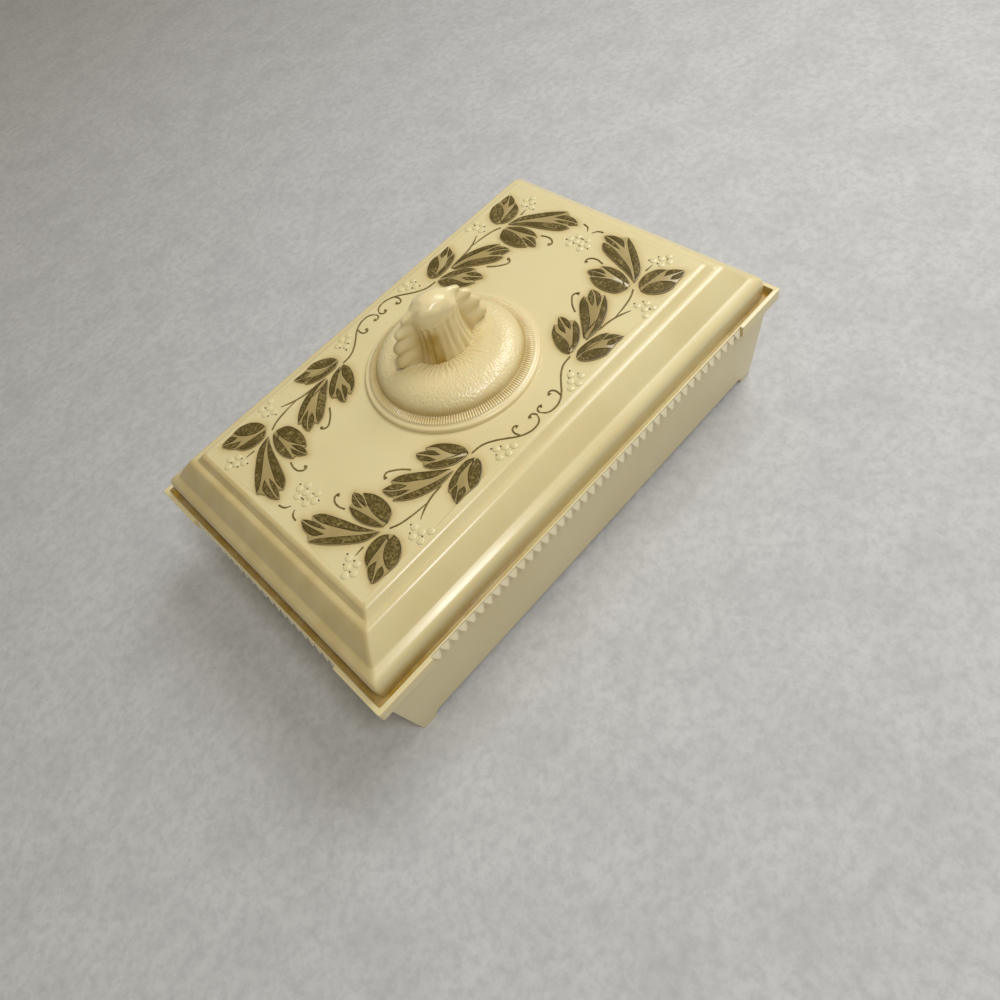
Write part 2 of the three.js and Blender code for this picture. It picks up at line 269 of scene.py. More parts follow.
class LidSizes(bpy.types.PropertyGroup):
    """Sizes of the lid: heights are measured up from the lip, insets in from the lip's edge"""

    gutter: length("Gutter", "Width of the groove between lip and lid", 1.75)
    shoulder_rise: length("Shoulder rise", "Height of the shoulder's outer edge", 5.15)
    shoulder_round: length("Shoulder round", "Softening of the shoulder's outer edge", 1.3)
    shoulder_swell: length("Shoulder swell", "How far the shoulder swells between its edges", 0.04)
    crease_rise: length("Crease rise", "Height of the shoulder's inner edge", 6.0)
    crease_inset: length("Crease inset", "Inset of the shoulder's inner edge", 6.0)
    slope_swell: length("Slope swell", "How far the slope swells", 0.25)
    ledge_rise: length("Ledge rise", "Height of the ledge above the slope", 11.5)
    ledge_inset: length("Ledge inset", "Inset of the ledge's outer edge", 10.9)
    ledge_width: length("Ledge width", "Width of the flat ledge", 1.5)
    riser_hollow: length("Riser hollow", "How hollow the riser to the panel is", 0.05)
    panel_inset: length("Panel inset", "Inset of the panel's edge", 14.2)
    edge_round: length("Edge round", "Softening of the ledge and panel edges", 0.5)
    corner: length("Corner", "Softening of the mitred corners", 1.0)
    wall: length("Wall", "Thickness of the lid", 2.2)
    tongue_depth: length("Tongue depth", "How far the tongue drops into the tray", 3.0)
    tongue_width: length("Tongue width", "Thickness of the tongue", 1.6)
    tongue_inset: length("Tongue inset", "Inset of the tongue's outer face", 5.3)
    hole: length("Screw hole", "Radius of the hole for the finial's screw", 1.7)
    panel_cell: length("Panel cell", "Size of a cell of the panel's fine grid", 0.6)


class OrnamentSizes(bpy.types.PropertyGroup):
    """Sizes of the low relief on the lid's panel"""

    leaf_rise: length("Leaf rise", "Height of a leaf above the panel", 0.34)
    leaf_margin: length("Leaf margin", "Ivory border round the painted parts of a leaf", 0.16)
    paint_rise: length("Paint rise", "Height of the paint above its leaf", 0.05)
    paint_border: length("Paint border", "Width of the dark edge of the paint", 0.3)
    # The stain round the leaves is partly real stain and partly painted shade round the raised
    # relief
    stain_and_shade_reach: length("Stain reach", "How far stain spreads from the leaves", 1.3)
    leaf_stain_and_shade: factor("Leaf stain", "How strong the stain is beside a leaf", 0.45)
    # Warm painted shade on the mouldings of the left-hand end, where the box lies in shade
    left_end_shade: factor("Left end shade", "How far the moulding of the left-hand end has yellowed", 0.4)
    root: length("Root", "How deep the relief is rooted in the panel", 0.2)
    stem_radius: length("Stem radius", "Half the width of a stem", 0.24)
    bud_radius: length("Bud radius", "Radius of the bud at the end of a curl", 0.5)
    berry_radius: length("Berry radius", "Radius of a berry", 1.0)
    speck_radius: length("Speck radius", "Radius of a speck of paint", 0.23)


class FinialSizes(bpy.types.PropertyGroup):
    """Sizes of the shell finial, measured up from the panel and out from the axis"""

    flange_height: length("Flange height", "Thickness of the smooth flange", 1.2)
    flange_round: length("Flange round", "Radius of the flange's edge", 0.7)
    reed_radius: length("Reed radius", "Outer radius of the ring of reeds", 22.2)
    reed_rise: length("Reed rise", "How far the reeds climb on to the mound", 0.9)
    reed_depth: length("Reed depth", "Depth of the grooves between reeds", 0.24)
    reed_count: how_many("Reeds", "Number of reeds", 196)
    mound_radius: length("Mound radius", "Radius of the mound at its foot", 20.0)
    mound_foot: length("Mound foot", "Height of the mound's foot", 1.4)
    crest_radius: length("Crest radius", "Radius of the mound's crest", 13.4)
    crest_height: length("Crest height", "Height of the mound's crest", 6.4)
    dish: length("Dish", "Depth of the dish inside the crest", 2.4)
    sand_grain: length("Sand grain", "Size of the grains on the mound", 0.5)
    sand_height: length("Sand height", "Height of the grains on the mound", 0.19)
    wrinkle: length("Wrinkle", "Height of the wrinkles that spread from the grip", 0.18)
    wrinkle_count: how_many("Wrinkles", "Number of wrinkles", 46)
    grip_sink: length("Grip sink", "How deep the grip is rooted in the dish", 1.5)
    foot_depth: length("Foot depth", "Half depth of the grip's foot", 5.2)
    foot_width: length("Foot width", "Half width of the grip's foot", 9.0)
    neck_depth: length("Neck depth", "Half depth of the grip's neck", 4.4)
    neck_width: length("Neck width", "Half width of the grip's neck", 5.8)
    neck_height: length("Neck height", "Height of the neck", 16.6)
    cap_depth: length("Cap depth", "Half depth of the smooth cap", 4.6)
    cap_width: length("Cap width", "Half width of the smooth cap", 5.8)
    cap_height: length("Cap height", "Where the cap is widest", 18.2)
    flute_count: how_many("Flutes", "Number of flutes", 20)
    flute_depth: length("Flute depth", "Depth of the flutes", 0.34)
    cap_lumps: length("Cap lumps", "Height of the uneven lumps on the cap", 0.5)
    wing_width: length("Wing width", "Reach of a frilled wing from the axis", 14.1)
    wing_middle: length("Wing middle", "Height where a wing is widest", 6.5)
    wing_top: length("Wing top", "Height where the oval of a wing's edge would close", 23.4)
    wing_end: length("Wing end", "Height where a wing has run into the cap", 22.2)
    frill_depth: length("Frill depth", "Depth of the notches in a wing's edge", 1.3)
    frill_count: how_many("Frills", "Lobes in half a wing", 6, 1)
    ruffle: length("Ruffle", "How far the lobes of a wing swell", 3.0)
    wing_angle: turn_angle(
        "Wing angle", "Half the angle that a wing takes up round the grip", 0.24
    )
    wing_back: factor(
        "Wing back", "How far behind the grip's middle the wings stand, as a share of its depth",
        0.2, -1,
    )
    squareness: FloatProperty(
        name="Squareness", description="2 makes the grip oval, more makes its faces flatter",
        default=2.5, min=2,
    )
    grip_turn: turn_angle(
        "Grip turn", "How far the screwed-on grip is turned from the box's length",
        math.radians(-12),
    )


class FixingSizes(bpy.types.PropertyGroup):
    """Sizes of the screw and washer that hold the finial"""

    screw_radius: length("Screw radius", "Radius of the screw's shank", 1.4)
    thread_depth: length("Thread depth", "Depth of the thread", 0.22)
    thread_pitch: length("Thread pitch", "Rise of the thread in one turn", 0.9)
    head_height: length("Head height", "Height of the head's upright side", 1.8)
    slot_width: length("Slot width", "Width of the driver slot", 0.8)
    slot_depth: length("Slot depth", "Depth of the driver slot", 0.9)
    edge: length("Edge", "Softening of the metal edges", 0.12)


class BoxColours(bpy.types.PropertyGroup):
    """Colours of the box and its ornament"""

    ivory: colour("Ivory", "Moulded plastic of lid and tray", 227, 214, 166)
    ivory_shade: colour("Ivory shade", "Older, warmer patches in the plastic", 216, 199, 145)
    pearl: colour("Pearl", "Plastic of the finial", 233, 218, 170)
    # Amber serves real stain, and also painted shade and painted glow in the gutter and the
    # finial's hollows
    amber_stain_and_shade: colour("Amber", "Stain that has gathered in grooves", 170, 135, 30)
    wash: colour("Wash", "Ivory of the leaves, dulled by thin paint", 178, 158, 102)
    paint: colour("Paint", "Bronze-brown paint on the leaves", 82, 69, 25)
    paint_edge: colour("Paint edge", "Darker line where the paint has pooled", 50, 38, 10)
    stem: colour("Stem", "Thin paint on stems and tendrils", 112, 92, 42)
    brass: colour("Brass", "Screw and washer", 196, 160, 88)
    tarnish: colour("Tarnish", "Darker patches on the brass", 120, 88, 42)


class StageSettings(bpy.types.PropertyGroup):
    """Table, light and camera"""

    floor: colour("Floor", "Pale table under the box", 204, 205, 207)
    floor_size: length("Floor size", "Side of the square floor", 6000)
    camera_place: position(
        "Camera place", "Where the camera stands", (-0.06588, -0.12209, 0.18662)
    )
    camera_target: position(
        "Camera target", "Point on the table in the middle of the picture",
        (-0.00922, -0.01287, 0.0),
    )
    camera_roll: turn_angle(
        "Camera roll", "Turn of the camera about its own axis", math.radians(-22.207)
    )
    camera_lens: FloatProperty(
        name="Lens", description="Focal length of the camera", default=26.44, unit="CAMERA",
    )
    camera_sensor: FloatProperty(
        name="Sensor", description="Width of the camera's sensor", default=36, unit="CAMERA",
    )
    sky_colour: FloatVectorProperty(
        name="Sky colour", description="Colour of the even light", default=(1.0, 0.9, 0.72),
        subtype="COLOR", min=0, max=1,
    )
    sky_strength: FloatProperty(
        name="Sky", description="Even light from all round", default=0.31, min=0,
    )
    lamp_target: position("Lamp target", "Point that both lamps face", (0, 0, 0.03))
    window_place: position(
        "Window place", "Soft lamp high beyond the right-hand end", (0.34, -0.03, 0.46)
    )
    window_size: length("Window size", "Side of the window lamp", 300)
    window_power: lamp_power("Window power", "Power of the window lamp", 1.62)
    strip_place: position(
        "Strip place", "Small lamp in front, which draws a streak along the shoulder",
        (0.007, -0.31, 0.57),
    )
    strip_size: length("Strip size", "Side of the strip lamp", 130)
    strip_power: lamp_power("Strip power", "Power of the strip lamp", 1.15)


# Leaves of the quarter at the front right, in millimetres on the panel. Each has two long painted
# parts, left and right, and two short ones at its tip. A part is given from its first point along
# one edge to its far point, half-way through the list, and back along the other edge.
LEAVES = (
    (
        ((18.6, -25.0), (18.1, -22.8), (19.2, -19.6), (21.4, -16.6),
         (23.9, -15.1), (22.2, -17.2), (21.8, -19.6), (20.9, -22.6)),
        ((19.6, -25.1), (22.0, -23.0), (24.6, -20.9), (26.2, -19.4),
         (27.8, -18.7), (27.1, -20.6), (25.2, -22.7), (22.6, -24.4)),
        ((23.1, -19.8), (23.3, -17.4), (24.6, -15.8), (26.4, -14.4), (25.4, -16.2), (24.4, -18.2)),
        ((24.8, -19.9), (25.2, -17.8), (26.1, -16.0), (26.8, -14.6), (27.1, -16.4), (26.3, -18.6)),
    ),
    (
        ((24.6, -24.6), (27.4, -21.6), (30.6, -18.2), (33.4, -15.8),
         (35.6, -15.1), (34.2, -17.8), (31.8, -20.3), (28.8, -23.0)),
        ((24.6, -25.5), (28.6, -24.5), (32.6, -22.8), (36.4, -20.8),
         (39.0, -19.6), (36.8, -22.2), (33.2, -24.5), (28.8, -25.8)),
        ((34.2, -19.4), (35.1, -17.4), (36.7, -15.9), (38.6, -15.2), (37.5, -17.0), (35.9, -18.6)),
        ((34.5, -20.8), (36.2, -19.0), (37.8, -17.4), (38.9, -15.6), (38.7, -18.0), (37.1, -19.9)),
    ),
    (
        ((18.6, -27.4), (20.6, -26.2), (24.2, -26.4), (27.4, -27.4),
         (29.1, -28.8), (26.6, -28.9), (24.2, -27.8), (21.0, -27.5)),
        ((18.4, -27.9), (20.8, -28.0), (23.2, -29.4), (24.9, -31.4),
         (25.7, -32.8), (23.2, -32.9), (20.6, -31.5), (18.8, -29.6)),
        ((26.6, -29.3), (28.4, -29.3), (29.4, -30.2), (30.1, -31.9), (28.6, -31.0), (27.6, -30.2)),
        ((25.8, -31.0), (27.4, -30.7), (29.0, -31.6), (30.4, -32.8), (28.4, -32.7), (26.7, -32.3)),
    ),
    (
        ((44.2, -23.0), (41.4, -21.6), (40.4, -18.2), (40.8, -14.6),
         (42.2, -11.9), (43.4, -14.6), (44.4, -17.6), (44.6, -20.8)),
        ((45.3, -22.8), (45.5, -19.6), (46.0, -16.2), (46.4, -14.0),
         (46.9, -12.0), (47.9, -14.6), (47.8, -18.0), (46.6, -21.0)),
        ((44.5, -15.6), (43.3, -13.6), (43.0, -11.4), (43.6, -9.8), (44.2, -11.6), (44.5, -13.6)),
        ((45.2, -15.0), (44.8, -13.0), (44.4, -11.2), (43.9, -9.8), (45.3, -11.2), (45.9, -13.0)),
    ),
    (
        ((47.2, -22.6), (48.8, -18.4), (50.4, -13.0), (52.2, -8.2),
         (54.3, -6.3), (54.2, -9.4), (52.6, -13.8), (50.2, -18.8)),
        ((46.8, -23.3), (50.2, -20.2), (54.0, -16.0), (57.4, -12.4),
         (59.3, -11.2), (57.9, -13.9), (55.0, -17.8), (50.9, -21.9)),
        ((54.5, -12.2), (54.7, -9.2), (55.6, -6.6), (56.6, -5.0), (56.2, -7.8), (55.4, -10.4)),
        ((55.6, -12.8), (56.3, -9.8), (56.8, -7.2), (56.9, -5.1), (58.0, -7.6), (57.7, -10.8)),
    ),
    (
        ((45.8, -25.8), (47.6, -24.3), (50.8, -24.2), (53.4, -25.6),
         (54.6, -27.8), (52.8, -27.2), (50.0, -26.7), (47.6, -26.2)),
        ((45.2, -26.8), (47.8, -27.0), (50.2, -28.6), (51.7, -30.9),
         (52.0, -32.7), (49.6, -32.8), (46.9, -31.3), (45.4, -28.9)),
        ((52.2, -28.6), (54.4, -28.2), (55.8, -29.6), (56.6, -31.6), (55.2, -30.8), (53.8, -29.7)),
        ((52.2, -30.6), (53.6, -30.5), (55.2, -31.3), (56.4, -32.0), (54.8, -32.4), (53.2, -32.2)),
    ),
)

# Stems of the same quarter, and curls that end in a bud, as points on the panel in millimetres
STEMS = (
    ((18.0, -25.6), (15.0, -26.0), (12.5, -27.4), (10.2, -29.4), (8.2, -31.3), (6.0, -32.7),
     (3.7, -33.2), (1.5, -32.6), (0.3, -30.8)),
    ((44.6, -24.5), (42.5, -25.5), (39.0, -26.3), (34.0, -26.8)),
    ((29.0, -26.0), (33.0, -26.5), (36.0, -27.5), (38.4, -28.7)),
    ((51.8, -23.0), (54.4, -23.2)),
    ((57.8, -3.6), (57.3, -1.8), (56.0, -0.8)),
)
CURLS = (
    ((7.4, -31.8), (7.6, -29.8), (6.9, -28.8), (6.0, -28.9), (5.9, -29.5)),
    ((0.4, -31.0), (0.8, -30.0), (1.7, -29.7), (2.2, -30.2)),
    ((30.4, -16.6), (31.8, -14.5), (33.3, -13.0), (34.7, -12.1), (35.7, -12.4), (36.0, -13.3)),
    ((48.0, -11.4), (48.5, -9.0), (48.0, -7.2), (46.8, -6.5), (46.2, -7.1)),
)

# Berries of the quarter and the specks of paint beside them
BERRIES = (
    (13.6, -29.6), (12.0, -31.0), (14.9, -32.0), (12.7, -33.0), (10.4, -32.5),
    (40.7, -29.0), (42.7, -30.5), (40.6, -31.4), (42.3, -32.9), (39.0, -33.0),
    (55.9, -22.4), (57.6, -23.8), (55.7, -25.2), (57.7, -26.4), (59.4, -25.0),
    (51.2, -0.9), (53.2, -1.7), (49.4, -2.0), (51.4, -3.1),
)
SPECKS = (
    (14.4, -28.6), (12.5, -30.0), (14.9, -30.9), (40.8, -27.9), (42.5, -29.4), (41.3, -32.4),
    (55.4, -21.3), (57.7, -22.7), (55.5, -24.0), (58.0, -25.3), (52.8, -0.3), (50.3, -1.1),
    (52.5, -1.8), (50.5, -3.9),
)


def millimetre(value):
    """A stored length as millimetres."""
    return value / MM


def metres(span, base=0.0):
    """A span of millimetres, counted from a base, as metres."""
    return [(base + value) * MM for value in span]


def deselect():
    """Leaves edit mode and selects nothing, so that an operator acts on new work alone."""
    if bpy.context.object and bpy.context.object.mode != "OBJECT":
        bpy.ops.object.mode_set(mode="OBJECT")
    bpy.ops.object.select_all(action="DESELECT")


def pick(piece):
    """Makes this the only selected and active piece."""
    deselect()
    piece.select_set(True)
    bpy.context.view_layer.objects.active = piece


def settle():
    """Writes the selected piece's place, turn and scale into its mesh."""
    bpy.ops.object.transform_apply(location=True, rotation=True, scale=True)


def edit_all():
    """Enters edit mode with the whole of the active piece selected."""
    bpy.ops.object.mode_set(mode="EDIT")
    bpy.ops.mesh.select_all(action="SELECT")


def call(piece, name):
    """Gives a piece and its mesh their name."""
    piece.name = name
    piece.data.name = name


def bend(points, steps=ARC_STEPS):
    """Points after the first along the curve that a chain of control points pulls."""
    path = []
    for step in range(1, steps + 1):
        row = [Vector(point) for point in points]
        while len(row) > 1:
            row = [a.lerp(b, step / steps) for a, b in zip(row, row[1:])]
        path.append(tuple(row[0]))
    return path


def through(points, steps=5):
    """Points after the first along a smooth curve through all of these."""
    row = [Vector(point) for point in (points[0], *points, points[-1])]
    path = []
    for before, here, there, after in zip(row, row[1:], row[2:], row[3:]):
        path += bend([here, here + (there - before) / 6, there - (after - here) / 6, there], steps)
    return path


def ramp(value, low, high):
    """Smooth step from 0 at low to 1 at high."""
    share = min(max((value - low) / (high - low), 0), 1)
    return share * share * (3 - 2 * share)


def ellipse(centre, across, up, start, end, steps=ARC_STEPS):
    """Points after the first along an arc of an ellipse, angles in degrees."""
    path = []
    for step in range(1, steps + 1):
        angle = math.radians(start + (end - start) * step / steps)
        path.append((centre[0] + across * math.cos(angle), centre[1] + up * math.sin(angle)))
    return path


def draw_through(stations):
    """Extrudes the selected face through stations of (length, width, height)."""
    for here, there in zip(stations, stations[1:]):
        bpy.ops.mesh.extrude_region_move(
            TRANSFORM_OT_translate={"value": (0, 0, there[2] - here[2])}
        )
        bpy.ops.transform.resize(value=(there[0] / here[0], there[1] / here[1], 1))


def close_up():
    """Merges doubles and turns all faces of the piece in edit mode outwards."""
    bpy.ops.mesh.select_all(action="SELECT")
    bpy.ops.mesh.remove_doubles(threshold=MERGE)
    bpy.ops.mesh.normals_make_consistent(inside=False)
    bpy.ops.object.mode_set(mode="OBJECT")


def mitred_piece(name, path, corner):
    """A rectangular moulding with soft mitres: path holds (inset, height) in millimetres."""
    stations = [
        ((LENGTH - 2 * inset) * MM, (WIDTH - 2 * inset) * MM, height * MM) for inset, height in path
    ]
    deselect()
    bpy.ops.mesh.primitive_plane_add(size=1, location=(0, 0, stations[0][2]))
    piece = bpy.context.object
    call(piece, name)
    piece.scale = (stations[0][0], stations[0][1], 1)
    settle()
    edit_all()
    bpy.ops.mesh.bevel(offset=corner, segments=CORNER_STEPS, affect="VERTICES")
    bpy.ops.mesh.select_all(action="SELECT")
    draw_through(stations)
    close_up()
    return piece


def turned_piece(name, path, facets):
    """A round piece about the Z axis: path holds (radius, height) in millimetres."""
    stations = [(radius * MM, radius * MM, height * MM) for radius, height in path]
    deselect()
    bpy.ops.mesh.primitive_circle_add(
        vertices=facets, radius=stations[0][0], fill_type="NGON", location=(0, 0, stations[0][2])
    )
    piece = bpy.context.object
    call(piece, name)
    settle()
    edit_all()
    draw_through(stations)
    close_up()
    return piece


def mark(piece, name, values):
    """Stores a value for each point of a piece, such as how stained or rubbed it is."""
    attribute = piece.data.attributes.new(name, "FLOAT", "POINT")
    attribute.data.foreach_set("value", values)


def relief_piece(rings):
    """Low relief through rings of (outline in millimetres, height, stain) of equal counts."""
    count = len(rings[0][0])
    deselect()
    bpy.ops.mesh.primitive_circle_add(vertices=count, radius=MM, fill_type="NGON")
    piece = bpy.context.object
    for step, (outline, height, _) in enumerate(rings):
        if step:
            bpy.ops.object.mode_set(mode="EDIT")
            bpy.ops.mesh.extrude_region_move()
            bpy.ops.object.mode_set(mode="OBJECT")
        for vertex, (x, y) in zip(list(piece.data.vertices)[-count:], outline):
            vertex.co = (x * MM, y * MM, height)
    mark(piece, "stain", [ring[2] for ring in rings for _ in range(count)])
    bpy.ops.object.mode_set(mode="EDIT")
    close_up()
    return piece


def select_parts(piece, kind, test):
    """Selects the faces or edges whose points pass a test and enters edit mode."""
    pick(piece)
    bpy.ops.object.mode_set(mode="EDIT")
    bpy.ops.mesh.select_mode(type=kind)
    bpy.ops.mesh.select_all(action="DESELECT")
    bpy.ops.object.mode_set(mode="OBJECT")
    points = piece.data.vertices
    for part in piece.data.polygons if kind == "FACE" else piece.data.edges:
        part.select = test([points[index].co for index in part.vertices])
    bpy.ops.object.mode_set(mode="EDIT")


def apply_modifier(piece, kind, **settings):
    """Adds a modifier with these settings and applies it at once."""
    pick(piece)
    bpy.ops.object.modifier_add(type=kind)
    modifier = piece.modifiers[-1]
    for name, value in settings.items():
        setattr(modifier, name, value)
    bpy.ops.object.modifier_apply(modifier=modifier.name)


def cut(piece, tool):
    """Cuts a tool's shape out of a piece and throws the tool away."""
    apply_modifier(piece, "BOOLEAN", object=tool, operation="DIFFERENCE", solver="EXACT")
    bpy.data.objects.remove(tool)


def drill(piece, radius, depth, height):
    """Cuts a round hole about the Z axis, with its middle at a height."""
    deselect()
    bpy.ops.mesh.primitive_cylinder_add(
        vertices=HOLE_FACETS, radius=radius, depth=depth, location=(0, 0, height)
    )
    cut(piece, bpy.context.object)


def joined(name, pieces):
    """Joins pieces into one."""
    pick(pieces[0])
    for piece in pieces:
        piece.select_set(True)
    bpy.ops.object.join()
    call(pieces[0], name)
    return pieces[0]


def to_four_quarters(piece):
    """Repeats the quarter at the front right in the other three."""
    apply_modifier(piece, "MIRROR", use_axis=(True, True, False), use_mirror_merge=False)


def smooth(piece, angle=SMOOTH_ANGLE):
    """Shades a piece smoothly, apart from its sharp edges."""
    pick(piece)
    bpy.ops.object.shade_smooth_by_angle(angle=angle)


def finish_piece(piece, body, slot, material, *nodes):
    """Gives a piece its finish and seats it on its body."""
    piece.data.materials.clear()
    piece.data.materials.append(material)
    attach(piece, body)
    if nodes:
        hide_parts(*nodes)


def make_relief(name, pieces, slot, material):
    """Joins the low relief of a quarter, repeats it in the other three and finishes it."""
    relief = joined(name, pieces)
    settle()
    to_four_quarters(relief)
    smooth(relief, RELIEF_ANGLE)
    finish_piece(relief, "lid", slot, material)


class Nodes:
    """A short way to write a node tree."""

    def __init__(self, tree):
        self.tree = tree

    def add(self, kind, **settings):
        node = self.tree.nodes.new(kind)
        for name, value in settings.items():
            setattr(node, name, value)
        return node

    def feed(self, socket, value):
        if isinstance(value, bpy.types.NodeSocket):
            self.tree.links.new(value, socket)
        else:
            socket.default_value = value

    def sum(self, operation, *values, clamp=False):
        node = self.add("ShaderNodeMath", operation=operation, use_clamp=clamp)
        for socket, value in zip(node.inputs, values):
            self.feed(socket, value)
        return node.outputs[0]

    def spread(self, value, low, high, to_low=0.0, to_high=1.0):
        node = self.add("ShaderNodeMapRange", interpolation_type="SMOOTHSTEP")
        for socket, number in zip(node.inputs, (value, low, high, to_low, to_high)):
            self.feed(socket, number)
        return node.outputs[0]

    def mix(self, share, first, second):
        node = self.add("ShaderNodeMix", data_type="RGBA")
        self.feed(node.inputs[0], share)
        self.feed(node.inputs[6], first)
        self.feed(node.inputs[7], second)
        return node.outputs[2]

    def noise(self, place, scale, detail=2.0, roughness=0.5):
        node = self.add("ShaderNodeTexNoise")
        self.feed(node.inputs["Vector"], place)
        node.inputs["Scale"].default_value = scale
        node.inputs["Detail"].default_value = detail
        node.inputs["Roughness"].default_value = roughness
        return node.outputs["Fac"]

    def place(self):
        return self.add("ShaderNodeTexCoord").outputs["Object"]


def opaque(values):
    """A stored colour with full alpha, as a node wants it."""
    return (*values, 1.0)


def new_group(name, inputs, outputs):
    """An empty shader node group with these sockets."""
    tree = bpy.data.node_groups.new(name, "ShaderNodeTree")
    for label, kind in inputs:
        tree.interface.new_socket(label, in_out="INPUT", socket_type="NodeSocket" + kind)
    for label, kind in outputs:
        tree.interface.new_socket(label, in_out="OUTPUT", socket_type="NodeSocket" + kind)
    return tree, tree.nodes.new("NodeGroupInput"), tree.nodes.new("NodeGroupOutput")


def aged_plastic_group():
    """Old moulded plastic: mottle, stain and painted shade by a mask, painted light by another
    mask, uneven gloss and a wavy skin.
    """
    name = "Aged plastic"
    if name in bpy.data.node_groups:
        return bpy.data.node_groups[name]
    tree, given, result = new_group(
        name,
        (("Clean", "Color"), ("Shade", "Color"), ("Stain", "Color"), ("Stain mask", "Float"),
         ("Rubbed mask", "Float"), ("Gloss", "Float")),
        (("Colour", "Color"), ("Roughness", "Float"), ("Height", "Float")),
    )
    make = Nodes(tree)
    place = make.place()
    patches = make.spread(make.noise(place, scale=38, detail=3.0), 0.36, 0.7)
    older = make.sum("MULTIPLY", patches, 0.4)
    colour_now = make.mix(older, given.outputs["Clean"], given.outputs["Shade"])
    uneven = make.spread(make.noise(place, scale=160, detail=3.0), 0.3, 0.7, 0.65, 1.0)
    # Stain and painted shade: the mask mixes in the stain colour, for real stain and for painted
    # shade and glow
    stain = make.sum("MULTIPLY", given.outputs["Stain mask"], uneven, clamp=True)
    colour_now = make.mix(stain, colour_now, given.outputs["Stain"])
    # Painted light: the teeth's faces are mixed towards a pale colour where the light catches them
    colour_now = make.mix(given.outputs["Rubbed mask"], colour_now, PAINTED_LIGHT)
    smears = make.spread(make.noise(place, scale=120, detail=2.0), 0.3, 0.75, -0.03, 0.05)
    waves = make.noise(place, scale=85, detail=1.0)
    tree.links.new(colour_now, result.inputs["Colour"])
    rough = make.sum("ADD", given.outputs["Gloss"], smears, clamp=True)
    tree.links.new(rough, result.inputs["Roughness"])
    tree.links.new(waves, result.inputs["Height"])
    return tree


def gutter_stain_and_glow_group():
    """Mask of the groove between lip and lid, from how far in from the lip's edge a point lies; its
    amber is partly stain and partly a painted glow of light through the plastic, strongest at the
    corners, with painted shade towards the left-hand end.
    """
    name = "Lip gutter"
    if name in bpy.data.node_groups:
        return bpy.data.node_groups[name]
    tree, _, result = new_group(name, (), (("Mask", "Float"),))
    make = Nodes(tree)
    axes = make.add("ShaderNodeSeparateXYZ")
    make.feed(axes.inputs[0], make.place())
    from_end = make.sum("SUBTRACT", LENGTH / 2 * MM, make.sum("ABSOLUTE", axes.outputs["X"]))
    from_side = make.sum("SUBTRACT", WIDTH / 2 * MM, make.sum("ABSOLUTE", axes.outputs["Y"]))
    inset = make.sum("MINIMUM", from_end, from_side)
    height = axes.outputs["Z"]
    past_lip = make.spread(inset, *metres(GUTTER_OUTER))
    low = make.spread(height, *metres(GUTTER_CLIMB, LIP_TOP), 1.0, 0.0)
    above_seat = make.spread(height, *metres(GUTTER_FLOOR, LIP_TOP))
    beside = make.spread(inset, *metres(GUTTER_INNER), 1.0, 0.0)
    along = make.sum("MAXIMUM", from_end, from_side)
    stain_and_glow_to_corner = make.spread(along, *metres(GUTTER_CORNER), 1.0, FAINT_GUTTER_AMBER)
    # Painted shade: the gutter's amber grows towards the left-hand end, which lies in shade
    shade_to_left = make.spread(axes.outputs["X"], -LENGTH / 2 * MM, 0.0, 1.0, FAINT_GUTTER_AMBER)
    climbing = make.sum("MULTIPLY", past_lip, low)
    mask = make.sum("MULTIPLY", climbing, make.sum("MULTIPLY", above_seat, beside))
    mask = make.sum("MULTIPLY", mask, make.sum("MAXIMUM", stain_and_glow_to_corner, shade_to_left))
    tree.links.new(mask, result.inputs["Mask"])
    return tree


def place_group(make, tree, **values):
    """Puts a group into a material and feeds it."""
    node = make.add("ShaderNodeGroup", node_tree=tree)
    for name, value in values.items():
        make.feed(node.inputs[name.replace("_", " ")], value)
    return node


def new_material(name):
    """An empty node material with its shader."""
    material = bpy.data.materials.new(name)
    material.use_nodes = True
    return material, Nodes(material.node_tree), material.node_tree.nodes["Principled BSDF"]


def skin(make, shader, height, strength, distance):
    """Lets a height map shape a shader's normal."""
    bump = make.add("ShaderNodeBump")
    bump.inputs["Strength"].default_value = strength
    bump.inputs["Distance"].default_value = distance
    make.feed(bump.inputs["Height"], height)
    make.feed(shader.inputs["Normal"], bump.outputs["Normal"])


def translucent(shader, weight):
    """Lets some light spread inside the plastic."""
    shader.inputs["Subsurface Weight"].default_value = weight
    shader.inputs["Subsurface Radius"].default_value = (1.0, 0.62, 0.24)
    shader.inputs["Subsurface Scale"].default_value = 0.8 * MM


def marked(make, name):
    """What the piece's own points say, such as how stained or rubbed they are."""
    return make.add("ShaderNodeAttribute", attribute_name=name).outputs["Fac"]


def plastic_material(name, clean, shade, stain, gloss, weight, gutter=False):
    """Aged moulded plastic with stain, painted shade and painted light where its points say, and
    with stain, painted glow and painted shade in the gutter too if asked.
    """
    material, make, shader = new_material(name)
    mask = marked(make, "stain")
    if gutter:
        groove = make.add("ShaderNodeGroup", node_tree=gutter_stain_and_glow_group()).outputs["Mask"]
        mask = make.sum("MAXIMUM", mask, groove)
    node = place_group(
        make, aged_plastic_group(), Clean=opaque(clean), Shade=opaque(shade), Stain=opaque(stain),
        Stain_mask=mask, Rubbed_mask=marked(make, "painted_light"), Gloss=gloss,
    )
    make.feed(shader.inputs["Base Color"], node.outputs["Colour"])
    make.feed(shader.inputs["Roughness"], node.outputs["Roughness"])
    skin(make, shader, node.outputs["Height"], 0.25, 0.12 * MM)
    shader.inputs["Coat Weight"].default_value = 0.5
    shader.inputs["Coat Roughness"].default_value = 0.2
    translucent(shader, weight)
    return material


